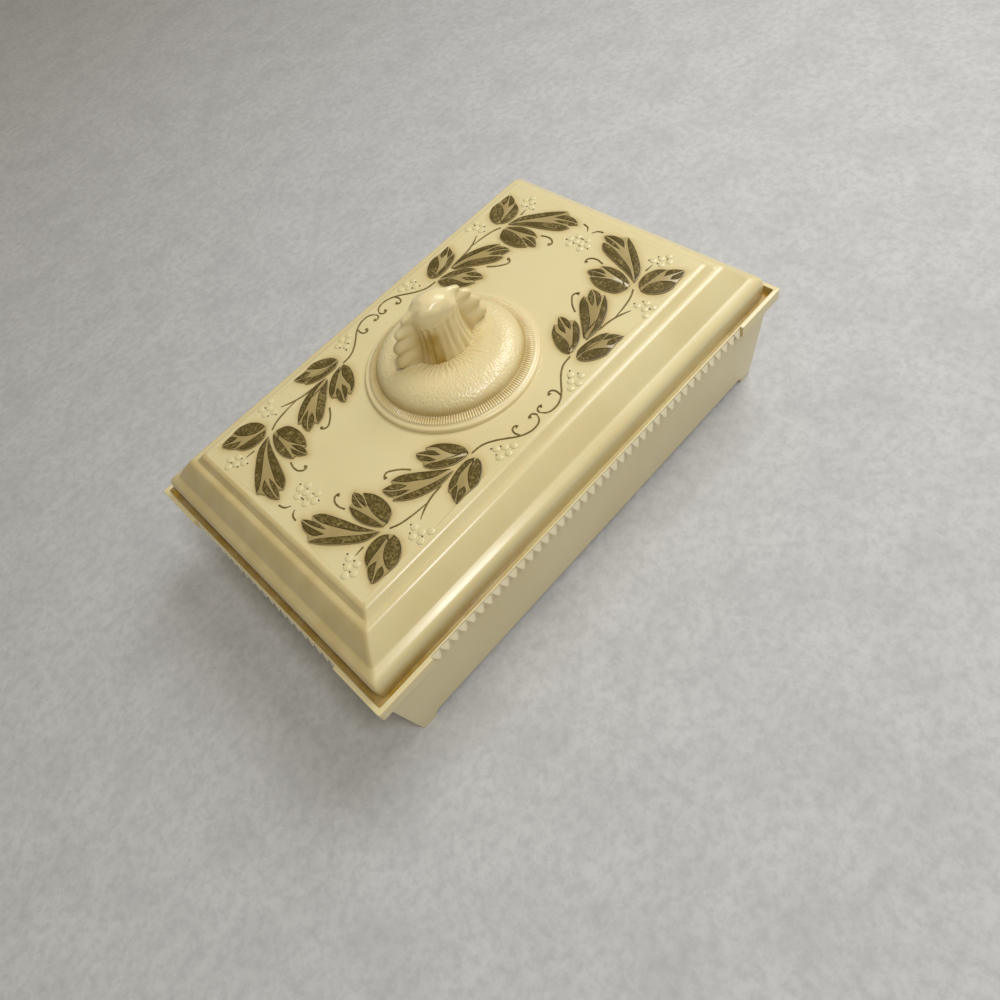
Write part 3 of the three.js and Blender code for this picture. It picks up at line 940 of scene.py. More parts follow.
def ivory_material(colours):
    """Ivory plastic of lid and tray, amber in the groove between them as stain, painted glow and
    painted shade.
    """
    if "Moulded ivory" in bpy.data.materials:
        return bpy.data.materials["Moulded ivory"]
    return plastic_material(
        "Moulded ivory", colours.ivory, colours.ivory_shade, colours.amber_stain_and_shade,
        gloss=0.32, weight=0.2, gutter=True,
    )


def leaf_material(colours):
    """Ivory of the leaves under a thin wash of paint, darker round their feet with stain and
    painted shade.
    """
    return plastic_material(
        "Washed ivory", colours.wash, colours.ivory_shade, colours.stem, gloss=0.38, weight=0.1
    )


def pearl_material(colours):
    """Pearly plastic of the finial, amber in its flutes and pockets: stain in the flutes, stain and
    painted shade in the pockets and dish, painted shade at the front left.
    """
    return plastic_material(
        "Pearl ivory", colours.pearl, colours.ivory_shade, colours.amber_stain_and_shade, gloss=0.32, weight=0.3
    )


def paint_material(name, colours, body):
    """Thin bronze paint: worn and speckled on top, darker where it has pooled at its edges."""
    material, make, shader = new_material(name)
    place = make.place()
    speckle = make.spread(make.noise(place, scale=1500, detail=3.0, roughness=0.7), 0.4, 0.7)
    patches = make.spread(make.noise(place, scale=330, detail=3.0), 0.32, 0.7, 0.1, 0.75)
    worn = make.sum("MULTIPLY", speckle, patches)
    tone = make.mix(worn, opaque(body), opaque(colours.wash))
    tone = make.mix(marked(make, "stain"), tone, opaque(colours.paint_edge))
    shader.inputs["Specular IOR Level"].default_value = 0.25
    make.feed(shader.inputs["Base Color"], tone)
    make.feed(shader.inputs["Roughness"], make.spread(speckle, 0.0, 1.0, 0.42, 0.62))
    skin(make, shader, speckle, 0.3, 0.05 * MM)
    return material


def brass_material(colours):
    """Turned brass with dull patches."""
    material, make, shader = new_material("Brass")
    place = make.place()
    dull = make.spread(make.noise(place, scale=700, detail=4.0, roughness=0.6), 0.42, 0.7)
    tone = make.mix(dull, opaque(colours.brass), opaque(colours.tarnish))
    make.feed(shader.inputs["Base Color"], tone)
    make.feed(shader.inputs["Roughness"], make.spread(dull, 0.0, 1.0, 0.24, 0.5))
    shader.inputs["Metallic"].default_value = 1.0
    skin(make, shader, make.noise(place, scale=2600, detail=2.0), 0.15, 0.05 * MM)
    return material


def tray_path(sizes):
    """Profile of the tray along a toothed side, from under the floor round to its inside."""
    foot, wall, drop = (millimetre(v) for v in (sizes.foot_height, sizes.wall, sizes.draft))
    overhang, setback = millimetre(sizes.overhang), millimetre(sizes.tooth_setback)
    lip, soft = millimetre(sizes.lip_thickness), millimetre(sizes.lip_round)
    seat = LIP_TOP - millimetre(sizes.seat_depth)
    notch = seat - millimetre(sizes.tooth_web)
    wall_top = LIP_TOP - millimetre(sizes.rim_face) - millimetre(sizes.cove)
    floor_top = foot + millimetre(sizes.floor)
    fillet = millimetre(sizes.fillet)
    inner_foot = overhang + wall + drop
    path = [
        (overhang + drop + millimetre(sizes.foot_depth), foot),
        (overhang + drop + millimetre(sizes.foot_depth), 0),
        (overhang + drop, 0),
        (overhang, wall_top),
    ]
    path += [(overhang, notch), (setback, notch), (setback, LIP_TOP - soft)]
    path += ellipse((setback + soft, LIP_TOP - soft), soft, soft, 180, 90, steps=3)
    path += [(lip - soft / 2, LIP_TOP), (lip, LIP_TOP - soft / 2), (lip, seat)]
    path += [(overhang + wall, seat), (inner_foot, floor_top + fillet)]
    path += ellipse((inner_foot + fillet, floor_top + fillet), fillet, fillet, 180, 270, steps=6)
    return path


def corner_path(sizes):
    """Profile of a plain corner: a hollow curve, an upright face and the lip."""
    overhang, soft = millimetre(sizes.overhang), millimetre(sizes.lip_round)
    lip = millimetre(sizes.lip_thickness)
    seat = LIP_TOP - millimetre(sizes.seat_depth)
    rim_foot = LIP_TOP - millimetre(sizes.rim_face)
    wall_top = rim_foot - millimetre(sizes.cove)
    buried = overhang + millimetre(sizes.wall) / 4
    path = [(overhang, wall_top)]
    path += bend([(overhang, wall_top), (overhang, rim_foot), (RIM_NOSE, rim_foot)])
    path += [(0, rim_foot + soft / 2), (0, LIP_TOP - soft)]
    path += ellipse((soft, LIP_TOP - soft), soft, soft, 180, 90, steps=3)
    path += [(lip - soft / 2, LIP_TOP), (lip, LIP_TOP - soft / 2), (lip, seat)]
    path += [(buried, seat), (buried, wall_top)]
    return path


def arch_tool(span, reach, sizes):
    """Bar with round upper edges, which opens the space between two feet."""
    deselect()
    height = 2 * sizes.foot_height
    bpy.ops.mesh.primitive_cube_add(size=1, location=(0, 0, 0))
    tool = bpy.context.object
    tool.scale = (span, reach, height)
    settle()
    top = sizes.foot_height * 0.99

    def is_brow(ends):
        return min(end.z for end in ends) > top and abs(ends[0].x - ends[1].x) < MERGE

    select_parts(tool, "EDGE", is_brow)
    bpy.ops.mesh.bevel(offset=sizes.bracket, segments=BRACKET_STEPS, affect="EDGES")
    bpy.ops.object.mode_set(mode="OBJECT")
    return tool


def plain_corners(sizes):
    """The four plain corners of the rim: a frame of their profile, cut down to one corner."""
    ring = mitred_piece("plain_corners", corner_path(sizes), sizes.corner)
    select_parts(
        ring, "FACE", lambda points: sum((p.xy for p in points), Vector((0, 0))).length < MM
    )
    bpy.ops.mesh.delete(type="ONLY_FACE")
    bpy.ops.mesh.select_mode(type="EDGE")
    bpy.ops.mesh.select_non_manifold()
    bpy.ops.mesh.bridge_edge_loops()
    close_up()
    for axis, reach in ((Vector((1, 0, 0)), LENGTH), (Vector((0, -1, 0)), WIDTH)):
        edit_all()
        bpy.ops.mesh.bisect(
            plane_co=axis * (reach / 2 * MM - sizes.corner_run), plane_no=axis,
            use_fill=True, clear_inner=True, threshold=MERGE,
        )
        bpy.ops.object.mode_set(mode="OBJECT")
    to_four_quarters(ring)
    return ring


def shrunk(outline, share):
    """An outline drawn in towards its middle."""
    middle = sum((Vector(point) for point in outline), Vector((0, 0))) / len(outline)
    return [tuple(middle.lerp(Vector(point), share)) for point in outline]


def one_tooth(sizes, pitch):
    """A swelling tooth that hangs from the lip, with a round tip that leans out."""
    top = LIP_TOP * MM - sizes.tooth_gap
    half, drop, tip = millimetre(pitch) / 2, millimetre(sizes.tooth_drop), sizes.tooth_tip
    flank = (half * TOOTH_FLANK[0], -drop * TOOTH_FLANK[1])
    outline = [(half, 0), *bend([(half, 0), flank, (half * tip, -drop), (0, -drop)], steps=8)]
    outline += [(-x, y) for x, y in reversed(outline[:-1])]
    root, swell = sizes.tooth_root, sizes.tooth_round
    rings = [(outline, 0, 0), (outline, root, 0)]
    for share, rise in TOOTH_FACE:
        rings.append((shrunk(outline, share), root + rise * swell, 0))
    tooth = relief_piece(rings)
    painted_light = []
    for vertex in tooth.data.vertices:
        x, y, out = vertex.co
        front = out > root / 2
        stand = max(out - root, 0) + sizes.tooth_lean * front
        vertex.co = (x, root * (not front) - stand * max(-y, 0) / sizes.tooth_drop, top + y)
        # Painted light: the front of each tooth is marked to be painted pale
        painted_light.append(TOOTH_PAINTED_LIGHT * front)
    mark(tooth, "painted_light", painted_light)
    return tooth


def tooth_row(sizes, side, reach, turn):
    """A row of teeth along one side, between its plain corners."""
    run = side * MM - 2 * sizes.corner_run
    count = round(run / sizes.tooth_pitch)
    row = one_tooth(sizes, run / count)
    apply_modifier(
        row, "ARRAY", count=count, use_relative_offset=False, use_constant_offset=True,
        constant_offset_displace=(run / count, 0, 0),
    )
    row.location = (run / count / 2 - run / 2, sizes.tooth_setback - reach / 2 * MM, 0)
    settle()
    row.rotation_euler.z = turn
    settle()
    return row


class MakeTray(bpy.types.Operator):
    """Models the footed tray with its toothed rim"""

    bl_idname = "trinket_box.make_tray"
    bl_label = "Tray"

    def execute(self, context):
        sizes = context.scene.tray_sizes
        tray = mitred_piece("ivory_tray", tray_path(sizes), sizes.corner)
        foot_end = sizes.overhang + sizes.draft + sizes.foot_reach
        for span, reach, turn in ((LENGTH, WIDTH, 0), (WIDTH, LENGTH, math.pi / 2)):
            tool = arch_tool(span * MM - 2 * foot_end, reach * MM, sizes)
            tool.rotation_euler.z = turn
            settle()
            cut(tray, tool)
        rows = [
            tooth_row(sizes, side, reach, turn)
            for side, reach, turn in (
                (LENGTH, WIDTH, 0),
                (WIDTH, LENGTH, math.pi / 2),
                (LENGTH, WIDTH, math.pi),
                (WIDTH, LENGTH, -math.pi / 2),
            )
        ]
        corners = plain_corners(sizes)
        apply_modifier(tray, "BOOLEAN", object=corners, operation="UNION", solver="EXACT")
        bpy.data.objects.remove(corners)
        tray = joined("ivory_tray", [tray, *rows])
        smooth(tray)
        material = ivory_material(context.scene.box_colours)
        finish_piece(tray, "tray", "ivory_tray", material, "base_tray")
        return {"FINISHED"}


def lid_path(sizes, tray):
    """Profile of the lid from its panel out and down to the tongue, and back up to the ceiling."""
    soft = millimetre(sizes.edge_round)
    panel, ledge_in = millimetre(sizes.panel_inset), millimetre(sizes.ledge_inset)
    riser = ledge_in + millimetre(sizes.ledge_width)
    ledge = LIP_TOP + millimetre(sizes.ledge_rise)
    crease_in, crease = millimetre(sizes.crease_inset), LIP_TOP + millimetre(sizes.crease_rise)
    side = millimetre(sizes.gutter + tray.lip_thickness)
    shoulder = LIP_TOP + millimetre(sizes.shoulder_rise)
    seat = LID_LOW.z / MM + millimetre(sizes.tongue_depth)
    wall, hollow = millimetre(sizes.wall), millimetre(sizes.riser_hollow)
    slope = millimetre(sizes.slope_swell)
    tongue = millimetre(sizes.tongue_inset)
    inside = tongue + millimetre(sizes.tongue_width)
    run = Vector((ledge_in - crease_in, ledge - crease)).normalized()
    inner = Vector((crease_in, crease)) + Vector((run.y, -run.x)) * wall
    rate = run.y / run.x
    path = [(panel + 2 * soft, PANEL_TOP)]
    path += bend([path[-1], (panel, PANEL_TOP), (panel - soft, PANEL_TOP - soft)], steps=4)
    middle = ((riser + panel) / 2 + hollow, (ledge + PANEL_TOP) / 2 - hollow)
    path += bend([path[-1], middle, (riser, ledge)], steps=6)
    path += [(ledge_in + 2 * soft, ledge)]
    path += bend([path[-1], (ledge_in, ledge), (ledge_in - soft, ledge - soft)], steps=4)
    middle = ((crease_in + ledge_in) / 2 - slope, (crease + ledge) / 2 + slope)
    path += bend([path[-1], middle, (crease_in, crease)])
    turn, swell = millimetre(sizes.shoulder_round), millimetre(sizes.shoulder_swell)
    middle = ((crease_in + side + turn) / 2 - swell, (crease + shoulder) / 2 + swell)
    path += bend([path[-1], middle, (side + turn, shoulder)])
    path += bend([path[-1], (side, shoulder - turn / 2), (side, shoulder - 2 * turn)], steps=6)
    path += [(side, seat), (tongue, seat), (tongue, LID_LOW.z / MM), (inside, LID_LOW.z / MM)]
    ceiling = PANEL_TOP - wall
    top = ledge_in + run.y * wall
    path += [(inside, inner.y + (inside - inner.x) * rate), (top, inner.y + (top - inner.x) * rate)]
    path += [(panel + wall, ceiling)]
    return path


def fine_panel(lid, sizes):
    """Replaces the lid's top face by a fine grid, which carries the stain and painted shade round
    the leaves.
    """
    top = PANEL_TOP * MM
    select_parts(
        lid, "FACE", lambda points: len(points) > 4 and min(p.z for p in points) > top - MERGE
    )
    bpy.ops.mesh.delete(type="ONLY_FACE")
    inset = sizes.panel_inset + 4 * sizes.edge_round
    across, deep = LENGTH * MM - 2 * inset, WIDTH * MM - 2 * inset
    bpy.ops.mesh.primitive_grid_add(
        x_subdivisions=round(across / sizes.panel_cell),
        y_subdivisions=round(deep / sizes.panel_cell),
        size=1, location=(0, 0, top),
    )
    bpy.ops.transform.resize(value=(across, deep, 1))
    bpy.ops.mesh.select_mode(type="EDGE")
    bpy.ops.mesh.select_all(action="DESELECT")
    bpy.ops.mesh.select_non_manifold()
    bpy.ops.mesh.bridge_edge_loops()
    close_up()


def stain_and_shade_panel(lid, sizes):
    """Marks stain and painted shade round the leaves, and warm painted shade on the mouldings,
    strongest at the left-hand end.
    """
    edge = [point for leaf in LEAVES for part in leaf for point in part_outline(part)]
    near = kdtree.KDTree(len(edge))
    for index, (x, y) in enumerate(edge):
        near.insert((x, y, 0), index)
    near.balance()
    values = []
    for vertex in lid.data.vertices:
        x, y, z = vertex.co / MM
        distance = near.find((abs(x), -abs(y), 0))[2]
        if abs(z - PANEL_TOP) < MERGE / MM:
            # Stain and painted shade round the raised leaves
            values.append(sizes.leaf_stain_and_shade * math.exp(-(distance * MM / sizes.stain_and_shade_reach) ** 2))
        else:
            # Warm painted shade on the mouldings, full on the left-hand end and fading towards the
            # right
            on_end = LENGTH / 2 + x < WIDTH / 2 - abs(y)
            values.append(sizes.left_end_shade * (1 if on_end else FAINT_LEFT_END_SHADE * (0.5 - x / LENGTH)))
    mark(lid, "stain", values)


class MakeLid(bpy.types.Operator):
    """Models the hollow lid with its stepped and mitred moulding"""

    bl_idname = "trinket_box.make_lid"
    bl_label = "Lid"

    def execute(self, context):
        sizes = context.scene.lid_sizes
        lid = mitred_piece("ivory_lid", lid_path(sizes, context.scene.tray_sizes), sizes.corner)
        fine_panel(lid, sizes)
        drill(lid, sizes.hole, 4 * sizes.wall, PANEL_TOP * MM)
        stain_and_shade_panel(lid, context.scene.ornament_sizes)
        smooth(lid)
        finish_piece(lid, "lid", "ivory_lid", ivory_material(context.scene.box_colours), "lid")
        return {"FINISHED"}


def part_outline(points):
    """Smooth outline of a painted part."""
    half = len(points) // 2
    return through(points[:half + 1]) + through([*points[half:], points[0]])


def leaf_outline(parts):
    """Outline of a whole leaf, round the outer edges of its four painted parts."""
    left, right, left_end, right_end = parts
    side, end = len(left) // 2, len(left_end) // 2
    outline = left[:side] + left_end[end // 2:end]
    outline += right_end[end:end + end // 2] + right[side - 1:]
    return outline


def drawn_in(outline, border):
    """An outline drawn in from both its edges towards the line between its two points."""
    count = len(outline)
    row = [Vector(point) for point in outline]
    inner = []
    for index, point in enumerate(row):
        facing = (count - index - 2) % count
        if facing == index:
            inner.append((row[index - 1] + row[(index + 1) % count]) / 2)
        else:
            across = row[facing] - point
            inner.append(point + across * min(border / across.length, BORDER_LIMIT))
    return inner


def grown(outline, margin):
    """An outline with a margin all round."""
    row = [Vector(point) for point in outline]
    loop = list(zip(row[-1:] + row[:-1], row, row[1:] + row[:1]))
    way = math.copysign(margin, sum(here.cross(there) for _, here, there in loop))
    wider = []
    for before, here, there in loop:
        run = (there - before).normalized()
        wider.append(here + Vector((run.y, -run.x)) * way)
    return wider


class MakeLeaves(bpy.types.Operator):
    """Models the raised leaves and the paint on them"""

    bl_idname = "trinket_box.make_leaves"
    bl_label = "Leaves"

    def execute(self, context):
        sizes, colours = context.scene.ornament_sizes, context.scene.box_colours
        panel = PANEL_TOP * MM
        foot = panel - sizes.root
        margin, border = millimetre(sizes.leaf_margin), millimetre(sizes.paint_border)
        leaves, paint = [], []
        for leaf in LEAVES:
            parts = [part_outline(points) for points in leaf]
            outline = leaf_outline(parts)
            rise = sizes.leaf_rise
            rings = [(grown(outline, margin), foot, 1)]
            # The leaf is darker towards its foot: stain and painted shade round the raised relief
            for wide, up, stain in LEAF_EDGE:
                rings.append((grown(outline, margin * wide), panel + rise * up, stain))
            leaves.append(relief_piece(rings))
            for layer, outline in enumerate(parts):
                top = panel + rise + (layer + 1) * LAYER_STEP
                inner = drawn_in(outline, border)
                paint.append(relief_piece([
                    (outline, foot, 1), (outline, top, 1), (inner, top + sizes.paint_rise, 0),
                ]))
        make_relief("leaf_relief", leaves, "ivory_lid", leaf_material(colours))
        make_relief("leaf_paint", paint, "", paint_material("Leaf paint", colours, colours.paint))
        return {"FINISHED"}


def stem_piece(points, radius, end):
    """A stem along points on the panel, from one radius to another at its far end."""
    curve = bpy.data.curves.new("stem", "CURVE")
    curve.dimensions = "3D"
    curve.bevel_depth = millimetre(radius)
    curve.bevel_resolution = 3
    curve.resolution_u = 8
    curve.use_fill_caps = True
    spline = curve.splines.new("BEZIER")
    spline.bezier_points.add(len(points) - 1)
    for step, (point, place) in enumerate(zip(spline.bezier_points, points)):
        point.co = (*place, 0)
        point.handle_left_type = point.handle_right_type = "AUTO"
        point.radius = 1 if step < len(points) - 1 else end / radius
    piece = bpy.data.objects.new("stem", curve)
    bpy.context.scene.collection.objects.link(piece)
    pick(piece)
    bpy.ops.object.convert(target="MESH")
    piece = bpy.context.object
    piece.location.z = PANEL_TOP * MM
    piece.scale = (MM, MM, MM)
    settle()
    return piece


class MakeStems(bpy.types.Operator):
    """Models the stems and tendrils that join the sprays"""

    bl_idname = "trinket_box.make_stems"
    bl_label = "Stems"

    def execute(self, context):
        sizes, colours = context.scene.ornament_sizes, context.scene.box_colours
        thin, bud = sizes.stem_radius, sizes.bud_radius
        pieces = [stem_piece(points, thin, thin / 2) for points in STEMS]
        pieces += [stem_piece(points, thin, bud) for points in CURLS]
        make_relief("vine_stems", pieces, "", paint_material("Stem paint", colours, colours.stem))
        return {"FINISHED"}


def bead(radius, height):
    """A low bead with its foot in the panel, darker round its foot with stain and painted shade."""
    deselect()
    bpy.ops.mesh.primitive_ico_sphere_add(subdivisions=3, radius=radius, location=(0, 0, 0))
    piece = bpy.context.object
    piece.scale.z = height / radius
    settle()
    edit_all()
    bpy.ops.mesh.bisect(
        plane_co=(0, 0, -height / 3), plane_no=(0, 0, 1),
        use_fill=True, clear_inner=True, threshold=MERGE,
    )
    bpy.ops.object.mode_set(mode="OBJECT")
    heights = [vertex.co.z for vertex in piece.data.vertices]
    stain_and_shade_end = BERRY_STAIN_AND_SHADE_RISE * height
    # Darker round the foot: stain and painted shade where the bead meets the panel
    mark(piece, "stain", [BERRY_STAIN_AND_SHADE * (1 - ramp(z, 0, stain_and_shade_end)) for z in heights])
    return piece


def strewn(model, places):
    """Copies of a model at these places on the panel, in place of the model."""
    copies = []
    for x, y in places:
        twin = model.copy()
        twin.data = model.data.copy()
        bpy.context.scene.collection.objects.link(twin)
        twin.location = (x * MM, y * MM, PANEL_TOP * MM)
        copies.append(twin)
    bpy.data.objects.remove(model)
    return copies


class MakeBerries(bpy.types.Operator):
    """Models the berries and the specks of paint beside them"""

    bl_idname = "trinket_box.make_berries"
    bl_label = "Berries"

    def execute(self, context):
        sizes, colours = context.scene.ornament_sizes, context.scene.box_colours
        berry = bead(sizes.berry_radius, BERRY_RISE * sizes.berry_radius)
        make_relief("berries", strewn(berry, BERRIES), "ivory_lid", ivory_material(colours))
        speck = bead(sizes.speck_radius, sizes.speck_radius)
        material = paint_material("Speck paint", colours, colours.paint_edge)
        make_relief("painted_specks", strewn(speck, SPECKS), "", material)
        return {"FINISHED"}


def mound_path(sizes):
    """Profile of the finial's mound, from under the flange over reeds and crest to the dish."""
    flange, soft = millimetre(sizes.flange_height), millimetre(sizes.flange_round)
    reeds, rise = millimetre(sizes.reed_radius), millimetre(sizes.reed_rise)
    foot, crest = millimetre(sizes.mound_foot), millimetre(sizes.crest_height)
    crest_radius = millimetre(sizes.crest_radius)
    across, up = millimetre(sizes.mound_radius) - crest_radius, crest - foot
    start = math.degrees(math.asin((flange + rise - foot) / up))
    path = [(FLANGE_RADIUS, 0), (FLANGE_RADIUS, flange - soft)]
    path += ellipse((FLANGE_RADIUS - soft, flange - soft), soft, soft, 0, 90, steps=5)
    path += [(reeds + REED_FADE_OUT, flange)]
    reed_top = (crest_radius + across * math.cos(math.radians(start)), flange + rise)
    edge, fold, shoulder = (
        (reeds - inward, flange + rise * up) for inward, up in (REED_EDGE, REED_BEND, REED_SHOULDER)
    )
    path += bend([path[-1], edge, fold], steps=4)
    path += bend([path[-1], shoulder, reed_top], steps=5)
    path += ellipse((crest_radius, foot), across, up, start, 90, steps=38)
    dish = (DISH_END, crest - millimetre(sizes.dish))
    path += bend([(crest_radius, crest), (crest_radius / 2, crest), dish], steps=34)
    return path


def shape_mound(piece, sizes):
    """Cuts the reeds, strews sand over the mound and folds wrinkles into the dish."""
    flange = sizes.flange_height
    normals = [vertex.normal.copy() for vertex in piece.data.vertices]
    amber_stain_and_shade = []
    for vertex, normal in zip(piece.data.vertices, normals):
        place = vertex.co.copy()
        radius, angle = place.xy.length, math.atan2(place.y, place.x)
        on_top = ramp(place.z, *(flange * share for share in TOP_START))
        reeded = on_top * ramp(radius, sizes.mound_radius - REED_FADE_IN * MM, sizes.mound_radius)
        edge, fade = sizes.reed_radius, REED_FADE_OUT * MM
        reeded *= 1 - ramp(radius, edge - fade, edge + fade)
        groove = reeded * max(0, math.cos(sizes.reed_count * angle)) ** REED_SHARPNESS
        sandy = ramp(radius, *metres(SAND_START)) * (1 - ramp(radius, *metres(SAND_END))) * on_top
        grains = noise.voronoi(place / sizes.sand_grain)[0]
        sand = sandy * (0.5 - min(grains[0], 1)) * sizes.sand_height
        waver = sum(far * noise.noise(place / (size * MM)) for far, size in WRINKLE_WAVER)
        fold = math.sin(sizes.wrinkle_count * angle + waver)
        fold *= 1 - ramp(radius, *metres(WRINKLE_END))
        fold *= WRINKLE_MEAN + WRINKLE_CHANGE * noise.noise(place / (WRINKLE_BLOTCH * MM))
        vertex.co = place + normal * (sand + fold * sizes.wrinkle * on_top / 2)
        vertex.co.z -= groove * sizes.reed_depth
        stain = GROOVE_STAIN * groove
        foot = on_top * ramp(radius, *metres(FOOT_STAIN_START))
        stain += FOOT_STAIN * (foot * (1 - ramp(radius, *metres(FOOT_STAIN_END))))
        stain += max(0, -fold) * WRINKLE_STAIN * on_top
        # Stain and painted shade in the dish round the grip's foot
        stain += DISH_STAIN_AND_SHADE * on_top * (1 - ramp(radius, *metres(DISH_STAIN_AND_SHADE_END)))
        amber_stain_and_shade.append(min(stain, 1))
    mark(piece, "stain", amber_stain_and_shade)


def grip_path(sizes):
    """Profile of the grip through its depth, from its foot to the top of its cap."""
    foot = millimetre(sizes.crest_height - sizes.dish - sizes.grip_sink)
    neck, neck_height = millimetre(sizes.neck_depth), millimetre(sizes.neck_height)
    cap, cap_height = millimetre(sizes.cap_depth), millimetre(sizes.cap_height)
    half_way = foot + (neck_height - foot) / 2
    flute_end = neck_height - millimetre(sizes.flute_depth)
    path = [(millimetre(sizes.foot_depth), foot)]
    path += bend([path[0], (neck, half_way), (neck, flute_end), (neck, neck_height)], steps=36)
    path += bend([(neck, neck_height), (cap, neck_height), (cap, cap_height)], steps=10)
    dome = FINIAL_HEIGHT - cap_height
    for cosine, sine in ellipse((0, 0), 1, 1, 0, 90, steps=22):
        path.append((CAP_END + cap * cosine ** FLAT_TOP, cap_height + dome * sine ** FLAT_TOP))
    return path


def shape_grip(piece, sizes):
    """Cuts the flutes, widens the grip across the box and draws out a frilled wing at each end."""
    flare = sizes.foot_depth - sizes.neck_depth
    foot_wide = sizes.foot_width / sizes.foot_depth
    cap_wide, shaft_wide = sizes.cap_width / sizes.cap_depth, sizes.neck_width / sizes.neck_depth
    top = FINIAL_HEIGHT * MM
    amber_stain_and_shade = []
    for vertex in piece.data.vertices:
        x, y, z = vertex.co
        radius, angle = math.hypot(x, y), math.atan2(y, x)
        neck_wide = cap_wide if z > sizes.neck_height else shaft_wide
        spread = min(max((radius - sizes.neck_depth) / flare, 0), 1)
        wide = neck_wide + (foot_wide - neck_wide) * spread
        fluted = 1 - ramp(z, sizes.neck_height - sizes.flute_depth, sizes.cap_height)
        around = [FLUTE_CHANGES * math.cos(angle), FLUTE_CHANGES * math.sin(angle)]
        faint = FLUTE_MEAN + noise.noise((*around, z / (FLUTE_BLOTCH * MM)))
        hollow = (0.5 - 0.5 * math.cos(sizes.flute_count * angle)) * faint
        section = sum(abs(part) ** sizes.squareness for part in (math.cos(angle), math.sin(angle)))
        inner = max(radius - sizes.flute_depth * fluted * hollow, 0)
        inner /= section ** (1 / sizes.squareness)
        climb = min(max((z - sizes.wing_middle) / (sizes.wing_top - sizes.wing_middle), -1), 1)
        turn = math.asin(climb)
        lobe = math.sin(2 * sizes.frill_count * turn)
        reach = sizes.wing_width * math.cos(turn) - sizes.frill_depth * (1 - abs(lobe))
        lean = (math.sin(angle) - sizes.wing_back) / math.sin(sizes.wing_angle)
        wing = max(reach - inner * wide, 0) * math.exp(-lean * lean)
        wing *= 1 - ramp(z, sizes.wing_end - 2 * sizes.frill_depth, sizes.wing_end)
        swell = sizes.ruffle * abs(lobe) * (wing / sizes.wing_width) ** LOBE_GATHER
        swell *= min(max(LOBE_STEEPNESS * lean, -1), 1)
        vertex.co.x = math.cos(angle) * inner * wide + math.copysign(wing, x)
        vertex.co.y = math.sin(angle) * inner + swell
        capped = ramp(z, sizes.neck_height, sizes.cap_height)
        capped *= 1 - ramp(z, top - sizes.cap_lumps, top)
        lump = (noise.noise(Vector((x, y, z)) / (LUMP_SIZE * MM)) - 1) / 2 * sizes.cap_lumps
        vertex.co += Vector((x, y, z - sizes.neck_height)).normalized() * capped * lump
        # Stain and painted shade in the pockets beside the wings, and painted shade at the front
        # left
        pocket = math.exp(-((abs(lean) - POCKET_PLACE) / POCKET_SPREAD) ** 2)
        pocket *= 1 - ramp(z, *metres(POCKET_STAIN_AND_SHADE_END))
        front = FRONT_PAINTED_SHADE * math.exp(-((angle - FRONT_ANGLE) / FRONT_SPREAD) ** 2)
        low = 1 - ramp(z, *metres(FRONT_PAINTED_SHADE_END))
        stain = (FLUTE_STAIN * fluted * hollow + front) * low + POCKET_STAIN_AND_SHADE * pocket
        amber_stain_and_shade.append(min(stain, 1))
    mark(piece, "stain", amber_stain_and_shade)


class MakeFinial(bpy.types.Operator):
    """Models the shell finial: a sanded mound with a reeded foot and a fluted, frilled grip"""

    bl_idname = "trinket_box.make_finial"
    bl_label = "Finial"

    def execute(self, context):
        sizes = context.scene.finial_sizes
        mound = turned_piece("mound", mound_path(sizes), FACETS_PER_REED * sizes.reed_count)
        shape_mound(mound, sizes)
        grip = turned_piece("grip", grip_path(sizes), FACETS_PER_FLUTE * sizes.flute_count)
        shape_grip(grip, sizes)
        grip.rotation_euler.z = sizes.grip_turn
        settle()
        finial = joined("shell_grip", [mound, grip])
        finial.location.z = FINIAL_LOW.z
        settle()
        smooth(finial, SHELL_ANGLE)
        material = pearl_material(context.scene.box_colours)
        finish_piece(finial, "lid", "pearl_finial", material, "shell_finial")
        return {"FINISHED"}


def screw_path(sizes):
    """Profile of the screw from its crowned head to its tip."""
    low, high = SCREW_LOW.z / MM, SCREW_HIGH.z / MM
    head = (SCREW_HIGH.x - SCREW_LOW.x) / 2 / MM
    seat = WASHER_LOW.z / MM
    shank, thread = millimetre(sizes.screw_radius), millimetre(sizes.thread_depth)
    pitch, edge = millimetre(sizes.thread_pitch), millimetre(sizes.edge)
    path = [(HEAD_END, low)]
    path += bend([path[-1], (head, low), (head, seat - millimetre(sizes.head_height))], steps=8)
    path += [(head, seat - edge), (head - edge, seat), (shank, seat)]
    height = WASHER_HIGH.z / MM
    while height + 2 * pitch < high:
        path += [(shank, height), (shank - thread, height + pitch / 2)]
        height += pitch
    path += [(shank, height), (SCREW_END, high)]
    return path


